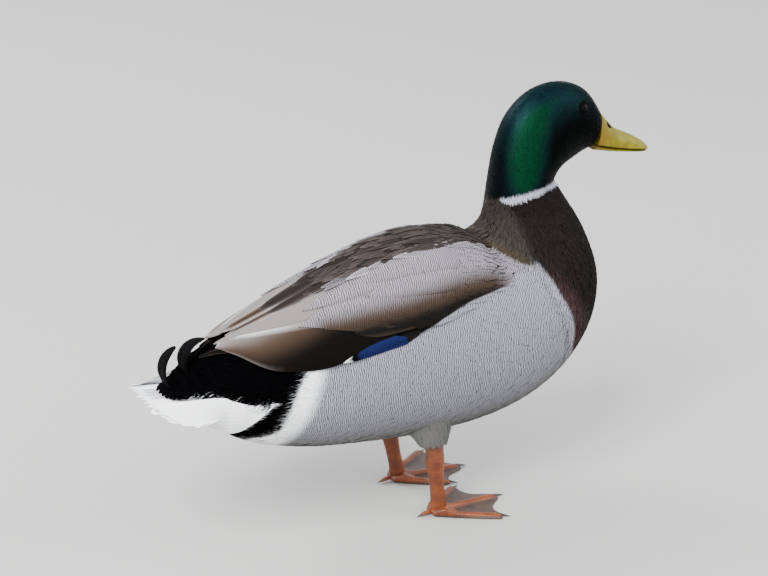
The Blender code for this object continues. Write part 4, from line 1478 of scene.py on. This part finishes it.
# ---- bill ------------------------------------------------------------------------------------
# From base to tip: ridge x and z, cutting edge x and z, half width, depth of the lower bill.
BILL = np.array([
    (0.1614, 0.2995, 0.1555, 0.2758, 0.0106, 0.0050),
    (0.1680, 0.2915, 0.1625, 0.2737, 0.0103, 0.0046),
    (0.1750, 0.2845, 0.1710, 0.2713, 0.0100, 0.0042),
    (0.1835, 0.2798, 0.1810, 0.2690, 0.0104, 0.0037),
    (0.1915, 0.2757, 0.1900, 0.2672, 0.0112, 0.0031),
    (0.1975, 0.2716, 0.1968, 0.2659, 0.0110, 0.0026),
    (0.2023, 0.2680, 0.2019, 0.2646, 0.0082, 0.0021),
    (0.2048, 0.2653, 0.2046, 0.2638, 0.0040, 0.0015),
])
BILL_BASE, BILL_TIP = 0.156, 0.2048
NOSTRIL = np.array([0.1688, 0.0045, 0.2886])
NOSTRIL_DEPTH = 0.0018
FURROW_DEPTH = 0.0004


def bill_rings(lower, steps=64, points=64):
    """Rings along the upper or the lower bill, from the face to the tip."""
    round_ring = np.arange(points) * math.tau / points
    last = len(BILL) - 1 - (0.7 if lower else 0.0)
    rings = []
    for step in range(steps + 1):
        ridge_x, ridge_z, edge_x, edge_z, half, depth = curve(BILL, np.array(last * step / steps))
        edge = np.array([edge_x, 0, edge_z])
        rise = np.array([ridge_x, 0, ridge_z]) - edge
        size = np.linalg.norm(rise)
        flat = 0.0006 / size
        if lower:
            edge = edge - rise / size * (depth / 2 + 0.0009)
            rise = rise / size * depth / 2
            half, flat = half * 0.84, 1.0
        height = np.cos(round_ring)
        height = np.where(height > 0, height, height * flat)
        rings.append(edge + rise * height[:, None] + np.outer(half * np.sin(round_ring), [0, 1, 0]))
    return np.array(rings) + SHIFT


class MALLARD_OT_bill(bpy.types.Operator):
    """Upper and lower bill, with nostrils, nail and a rolled cutting edge"""
    bl_idname = "mallard.bill"
    bl_label = "Bill"

    def execute(self, context):
        material = bill_material()
        for lower, name in ((False, "bill_upper"), (True, "bill_lower")):
            obj = loft_object(f"{name}_horn", bill_rings(lower))
            points, out = coordinates(obj), normals(obj)
            local = points - SHIFT
            at = np.interp(local[:, 0], [BILL_BASE, BILL_TIP], [0.0, 1.0])
            move = 0 * at if lower else self.carving(local, at)
            set_coordinates(obj, points + out * move[:, None])
            set_parts(obj, np.clip(-move / 0.0017, 0, 1), at, between(at, 0.86, 0.97))
            finish_piece(obj, material, "bill", name)
        return {"FINISHED"}

    def carving(self, local, at):
        """How far each point of the upper bill moves out, below zero in its hollows."""
        # the nostril and the shallow furrow that it lies in
        away = local * [1, 0, 1] + np.abs(local) * [0, 1, 0] - NOSTRIL
        ahead = (away[:, 0] - away[:, 2] * 0.8) / 1.3
        aside = np.sqrt(np.clip((away**2).sum(1) - ahead**2, 0, None))
        move = -NOSTRIL_DEPTH * (1 - between(np.hypot(ahead / 0.0032, aside / 0.0026), 0.60, 1.0))
        move -= FURROW_DEPTH * (1 - between(np.hypot(ahead / 0.0070, aside / 0.0034), 0.4, 1.2))
        # the nail at the tip
        nail = np.hypot((local[:, 0] - BILL_TIP) / 0.0085, local[:, 1] / 0.0040)
        move += 0.00035 * (1 - between(nail, 0.8, 1.0))
        # the rolled cutting edge and the groove above it
        above = local[:, 2] - np.interp(local[:, 0], BILL[:, 2], BILL[:, 3])
        move += 0.00030 * bulge(above - 0.0007, 0.0007) * between(at, 0.05, 0.2)
        return move - 0.00022 * bulge(above - 0.0024, 0.0006) * between(at, 0.1, 0.3)


def bill_material():
    """Olive yellow horn, ochre at the base and painted shade, near black, in the nostril hollows."""
    graph = Graph("bill_horn")
    hollow, at, tip = graph.parts(graph.attribute("parts", output=1))
    place = graph.place()
    speckle = graph.noise(place, 900.0, 3.0)
    cloud = graph.noise(place, 160.0, 3.0)
    yellow = graph.mix(cloud.rise(0.35, 0.65), opaque(113, 104, 4), opaque(97, 87, 2))
    base = (1 - at.rise(0.0, 0.34)) * cloud.rise(0.3, 0.62)
    colours = graph.mix(base * 0.6, yellow, opaque(111, 79, 21))
    colours = graph.mix(tip * 0.4, colours, opaque(120, 112, 40))
    colours = graph.mix(speckle.rise(0.62, 0.72) * 0.25, colours, opaque(90, 77, 20))
    # painted shade: the nostril hollows are near black, for the dark inside the open nostrils
    colours = graph.mix(hollow.rise(0.22, 0.42), colours, opaque(3, 2, 2))
    scratch = graph.noise(graph.mapping(place, Scale=(0.25, 1, 1)), 1500.0, 2.0)
    return graph.set(
        Base_Color=colours, Roughness=0.34 + speckle * 0.16 + hollow * 0.6, Specular_IOR_Level=0.20,
        Subsurface_Weight=0.04, Subsurface_Scale=0.002,
        Normal=graph.bump(scratch + speckle * 0.6, 0.18, 0.0002),
    )


# ---- eyes ------------------------------------------------------------------------------------
class MALLARD_OT_eyes(bpy.types.Operator):
    """Dark brown eyes with a black pupil under a clear, bulging cornea"""
    bl_idname = "mallard.eyes"
    bl_label = "Eyes"

    def execute(self, context):
        material = eye_material()
        for side, word in SIDES:
            centre, out = eye_place(side)
            deselect()
            bpy.ops.mesh.primitive_uv_sphere_add(segments=64, ring_count=40, radius=EYE_RADIUS)
            obj = bpy.context.active_object
            obj.name = f"eyeball_{word}"
            points = coordinates(obj)
            from_axis = np.hypot(points[:, 0], points[:, 1]) / EYE_RADIUS
            front = points[:, 2] > 0
            points[:, 2] += np.where(front, 0.0005 * (1 - between(from_axis, 0.15, 0.62)), 0)
            turn = Vector(out).to_track_quat("Z", "Y").to_matrix()
            set_coordinates(obj, points @ np.array(turn).T + centre)
            set_parts(obj, np.where(front, from_axis, 1.0), np.arctan2(points[:, 1], points[:, 0]), 0.0)
            obj.data.shade_smooth()
            finish_piece(obj, material, "eye", f"eye_{word}")
        return {"FINISHED"}


def eye_material():
    """A black pupil, a dark brown iris with fine fibres and a grey-brown rim."""
    graph = Graph("eye_surface")
    ring, turn, _ = graph.parts(graph.attribute("parts", output=1))
    fibres = graph.noise(graph.vector(turn * 4.0, ring * 3.0, 0.0), 3.0, 2.0)
    iris = graph.mix(fibres.rise(0.35, 0.65), opaque(9, 6, 4), opaque(16, 10, 7))
    colours = graph.mix(ring.rise(0.36, 0.40), opaque(4, 3, 3), iris)
    colours = graph.mix(ring.rise(0.60, 0.66), colours, opaque(16, 12, 11))
    return graph.set(Base_Color=colours, Roughness=0.07, Specular_IOR_Level=0.06)


# ---- legs and feet ---------------------------------------------------------------------------
LEG_SHIELD = 0.0031
TOE_SHIELD = 0.0027
HIND_SHIELD = 0.002
CLAW_GROWTH = [1.45, 1.45, 1.1]
CLAW_SINK = 0.0008


def shields(along, size):
    """1 on the broad scales across a leg or toe and 0 in the grooves between them."""
    return np.abs(np.sin(along / size * math.pi)) ** 0.5


class MALLARD_OT_legs(bpy.types.Operator):
    """Scaled legs, webbed feet, hind toes and claws"""
    bl_idname = "mallard.legs"
    bl_label = "Legs and feet"

    def execute(self, context):
        skin, horn = leg_material(), claw_material()
        for _, word in SIDES:
            self.leg(word, skin)
            self.foot(word, skin)
            self.hind_toe(word, skin)
            for toe in ("inner", "middle", "outer", "hind"):
                self.claw(toe, word, horn)
        return {"FINISHED"}

    def rounded(self, node, name, levels=3):
        """A smoothed copy of a CAD node, stretched back to the node's box."""
        obj = copy_node(node, name)
        modify(obj, "SUBSURF", levels=levels, render_levels=levels)
        low, high = (np.array(corner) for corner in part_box(node))
        points = coordinates(obj)
        now_low, now_high = points.min(0), points.max(0)
        set_coordinates(obj, low + (points - now_low) / (now_high - now_low) * (high - low))
        obj.data.shade_smooth()
        return obj

    def leg_middle(self, word):
        """The middle of a leg's box."""
        return np.mean([np.array(corner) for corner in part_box(f"tarsus_{word}")], axis=0)

    def axis_line(self, points, axis):
        """Heights and the middle of a leg at each, along one axis."""
        heights = np.linspace(points[:, 2].min(), points[:, 2].max(), 9)
        spans = [points[np.abs(points[:, 2] - height) < 0.003, axis] for height in heights]
        return heights, [(span.min() + span.max()) / 2 for span in spans]

    def leg(self, word, material):
        """A leg with broad scales in front, up into the thigh's feathers and down into the foot."""
        obj = self.rounded(f"tarsus_{word}", f"leg_{word}")
        points, out = coordinates(obj), normals(obj)
        low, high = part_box(f"tarsus_{word}")
        for axis in (0, 1):
            middle = np.interp(points[:, 2], *self.axis_line(points, axis))
            points[:, axis] = middle + (points[:, axis] - middle) * 1.14
        facing = between(out[:, 0], -0.1, 0.5)
        scale = shields(points[:, 2], LEG_SHIELD)
        push = 0.00035 * (scale - 1) * facing * between(points[:, 2], low.z, low.z + 0.002)
        points = points + out * push[:, None]
        set_parts(obj, facing, points[:, 2] / LEG_SHIELD, 0.0)
        rise = 0.0085 * between(points[:, 2], high.z - 0.010, high.z - 0.001)
        points[:, 2] += rise - 0.0035 * (1 - between(points[:, 2], low.z, low.z + 0.006))
        set_coordinates(obj, points)
        finish_piece(obj, material, "leg_skin", f"tarsus_{word}")

    def foot(self, word, material):
        """Three toes with scales on top and the web between them."""
        obj = self.rounded(f"foot_{word}", f"webbed_foot_{word}")
        points, out = coordinates(obj), normals(obj)
        heel_x, heel_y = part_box(f"foot_{word}")[0].x + 0.0075, self.leg_middle(word)[1]
        reach = np.hypot(points[:, 0] - heel_x, points[:, 1] - heel_y)
        toe = between(points[:, 2], 0.0016, 0.0032)
        upper = between(out[:, 2], 0.0, 0.5)
        push = (0.0007 + 0.00028 * (shields(reach, TOE_SHIELD) - 1) * upper) * toe
        set_coordinates(obj, points + out * push[:, None])
        set_parts(obj, toe, reach / TOE_SHIELD, 1 - toe)
        finish_piece(obj, material, "leg_skin", f"foot_{word}")

    def hind_toe(self, word, material):
        """The small toe behind the leg."""
        obj = self.rounded(f"hind_toe_{word}", f"small_toe_{word}")
        set_parts(obj, 1.0, coordinates(obj)[:, 0] / HIND_SHIELD, 0.0)
        finish_piece(obj, material, "leg_skin", f"hind_toe_{word}")

    def claw(self, toe, word, material):
        """A claw, grown from its tip back into its toe."""
        node = f"claw_{toe}_{word}"
        obj = self.rounded(node, f"claw_horn_{toe}_{word}", levels=2)
        points = coordinates(obj)
        heel = self.leg_middle(word) * [1, 1, 0] + [0, 0, 0.004]
        tip = points[np.argmax(np.linalg.norm(points - heel, axis=1))]
        set_coordinates(obj, tip + (points - tip) * CLAW_GROWTH - unit(tip - heel) * CLAW_SINK)
        finish_piece(obj, material, "claw", node)


def leg_material():
    """Orange skin with darker grooves between its scales and a mauve-brown web."""
    graph = Graph("leg_scales")
    shield, count, web = graph.parts(graph.attribute("parts", output=1))
    place = graph.place()
    edges = {"feature": "DISTANCE_TO_EDGE"}
    cells = graph.add("ShaderNodeTexVoronoi", edges, {"Vector": place, "Scale": 750.0})
    grain = cells.rise(0.0, 0.12)
    ring = count.maths("ABSOLUTE", count.maths("SINE", count * math.pi)).rise(0.0, 0.35)
    plates = ring * shield + grain * (1 - shield)
    cloud = graph.noise(place, 120.0, 3.0)
    orange = graph.mix(cloud.rise(0.3, 0.7), opaque(122, 56, 2), opaque(95, 37, 2))
    mauve = graph.mix(cloud.rise(0.35, 0.65), opaque(67, 52, 41), opaque(54, 42, 37))
    colours = graph.mix(web.rise(0.45, 0.95), orange, mauve)
    colours = graph.mix((1 - plates) * 0.75, colours, opaque(60, 22, 4))
    return graph.set(
        Base_Color=colours, Roughness=0.62 - plates * 0.16, Subsurface_Weight=0.06, Subsurface_Scale=0.002,
        Normal=graph.bump(plates, 0.45, 0.0003),
    )


def claw_material():
    """Dark horn with a fine grain."""
    graph = Graph("claw_horn")
    grain = graph.noise(graph.mapping(graph.place(), Scale=(0.2, 1, 1)), 2400.0, 2.0)
    colours = graph.mix(grain, opaque(22, 18, 16), opaque(56, 47, 40))
    return graph.set(Base_Color=colours, Roughness=0.38, Normal=graph.bump(grain, 0.2, 0.0001))


# ---- stage -----------------------------------------------------------------------------------
VIEW_CENTRE = np.array([-0.0276, 0.0, 0.1858]) + SHIFT
FLOOR_SIZE = 14
SKY_COLOUR = (0.93, 0.96, 1.0, 1)
SKY_STRENGTH = 1.70
SENSOR_WIDTH = 36.0
LENS = 121.875
LAMPS = {
    # place, width in metres and share of the main light's power
    "main_light": ((-1.5, -1.1, 2.0), 1.5, 1.15),
    "fill_light": ((1.7, -0.9, 1.3), 1.3, 0.25),
    "back_light": ((-0.9, 1.6, 1.7), 1.2, 0.40),
}


class MALLARD_OT_stage(bpy.types.Operator):
    """Pale floor, soft lights and the camera"""
    bl_idname = "mallard.stage"
    bl_label = "Stage"

    def execute(self, context):
        stage = context.scene.mallard_stage
        self.floor(context, stage)
        self.sky(context)
        for name, (place, width, share) in LAMPS.items():
            self.lamp(name, place, width, stage.key * share)
        self.camera(context, stage)
        return {"FINISHED"}

    def floor(self, context, stage):
        """A wide, matt, pale floor."""
        deselect()
        bpy.ops.mesh.primitive_plane_add(size=FLOOR_SIZE, location=(0, 0, 0))
        floor = context.active_object
        floor.name = "floor"
        graph = Graph("floor_paint")
        grain = graph.noise(graph.place(), 60.0, 3.0)
        paint_coat = graph.set(
            Base_Color=(*stage.floor, 1), Roughness=0.8, Normal=graph.bump(grain, 0.03, 0.001)
        )
        floor.data.materials.append(paint_coat)

    def sky(self, context):
        """Even light from all round."""
        world = context.scene.world or bpy.data.worlds.new("studio")
        context.scene.world = world
        world.use_nodes = True
        background = world.node_tree.nodes["Background"]
        background.inputs["Color"].default_value = SKY_COLOUR
        background.inputs["Strength"].default_value = SKY_STRENGTH

    def lamp(self, name, place, width, power):
        """A round soft lamp that looks at the bird."""
        data = bpy.data.lights.new(name, "AREA")
        data.shape = "DISK"
        data.size = width
        data.energy = power
        lamp = add_object(name, data)
        lamp.location = place
        lamp.rotation_euler = (Vector(VIEW_CENTRE) - Vector(place)).to_track_quat("-Z", "Y").to_euler()

    def camera(self, context, stage):
        """A camera on a circle round the bird, looking at its middle."""
        data = bpy.data.cameras.new("camera")
        data.sensor_width = SENSOR_WIDTH
        data.lens = LENS
        data.clip_start = 0.05
        back = Vector((
            math.sin(stage.azimuth) * math.cos(stage.elevation),
            -math.cos(stage.azimuth) * math.cos(stage.elevation),
            math.sin(stage.elevation),
        ))
        camera = add_object("camera", data)
        camera.location = Vector(VIEW_CENTRE) + back * stage.distance
        camera.rotation_euler = back.to_track_quat("Z", "Y").to_euler()
        context.scene.camera = camera


# ---- add-on ----------------------------------------------------------------------------------
OPERATORS = (
    MALLARD_OT_skin, MALLARD_OT_coat, MALLARD_OT_wings, MALLARD_OT_tail, MALLARD_OT_curls,
    MALLARD_OT_bill, MALLARD_OT_eyes, MALLARD_OT_legs, MALLARD_OT_stage,
)
GROUPS = (
    (MALLARD_PG_plumage, "mallard_plumage"),
    (MALLARD_PG_coat, "mallard_coat"),
    (MALLARD_PG_stage, "mallard_stage"),
)


class MALLARD_PT_panel(bpy.types.Panel):
    """Lists the bird's pieces, colours and sizes"""
    bl_idname = "MALLARD_PT_panel"
    bl_label = "Drake mallard"
    bl_space_type = "VIEW_3D"
    bl_region_type = "UI"
    bl_category = "Mallard"

    def draw(self, context):
        for operator in OPERATORS:
            self.layout.operator(operator.bl_idname)
        for group, name in GROUPS:
            box = self.layout.box()
            for key in group.__annotations__:
                box.prop(getattr(context.scene, name), key)


def register():
    for group, name in GROUPS:
        bpy.utils.register_class(group)
        setattr(bpy.types.Scene, name, bpy.props.PointerProperty(type=group))
    for part in (*OPERATORS, MALLARD_PT_panel):
        bpy.utils.register_class(part)


def unregister():
    for part in (MALLARD_PT_panel, *reversed(OPERATORS)):
        bpy.utils.unregister_class(part)
    for group, name in reversed(GROUPS):
        delattr(bpy.types.Scene, name)
        bpy.utils.unregister_class(group)


def main():
    register()
    for operator in OPERATORS:
        group, name = operator.bl_idname.split(".")
        getattr(getattr(bpy.ops, group), name)()


if __name__ == "__main__":
    main()
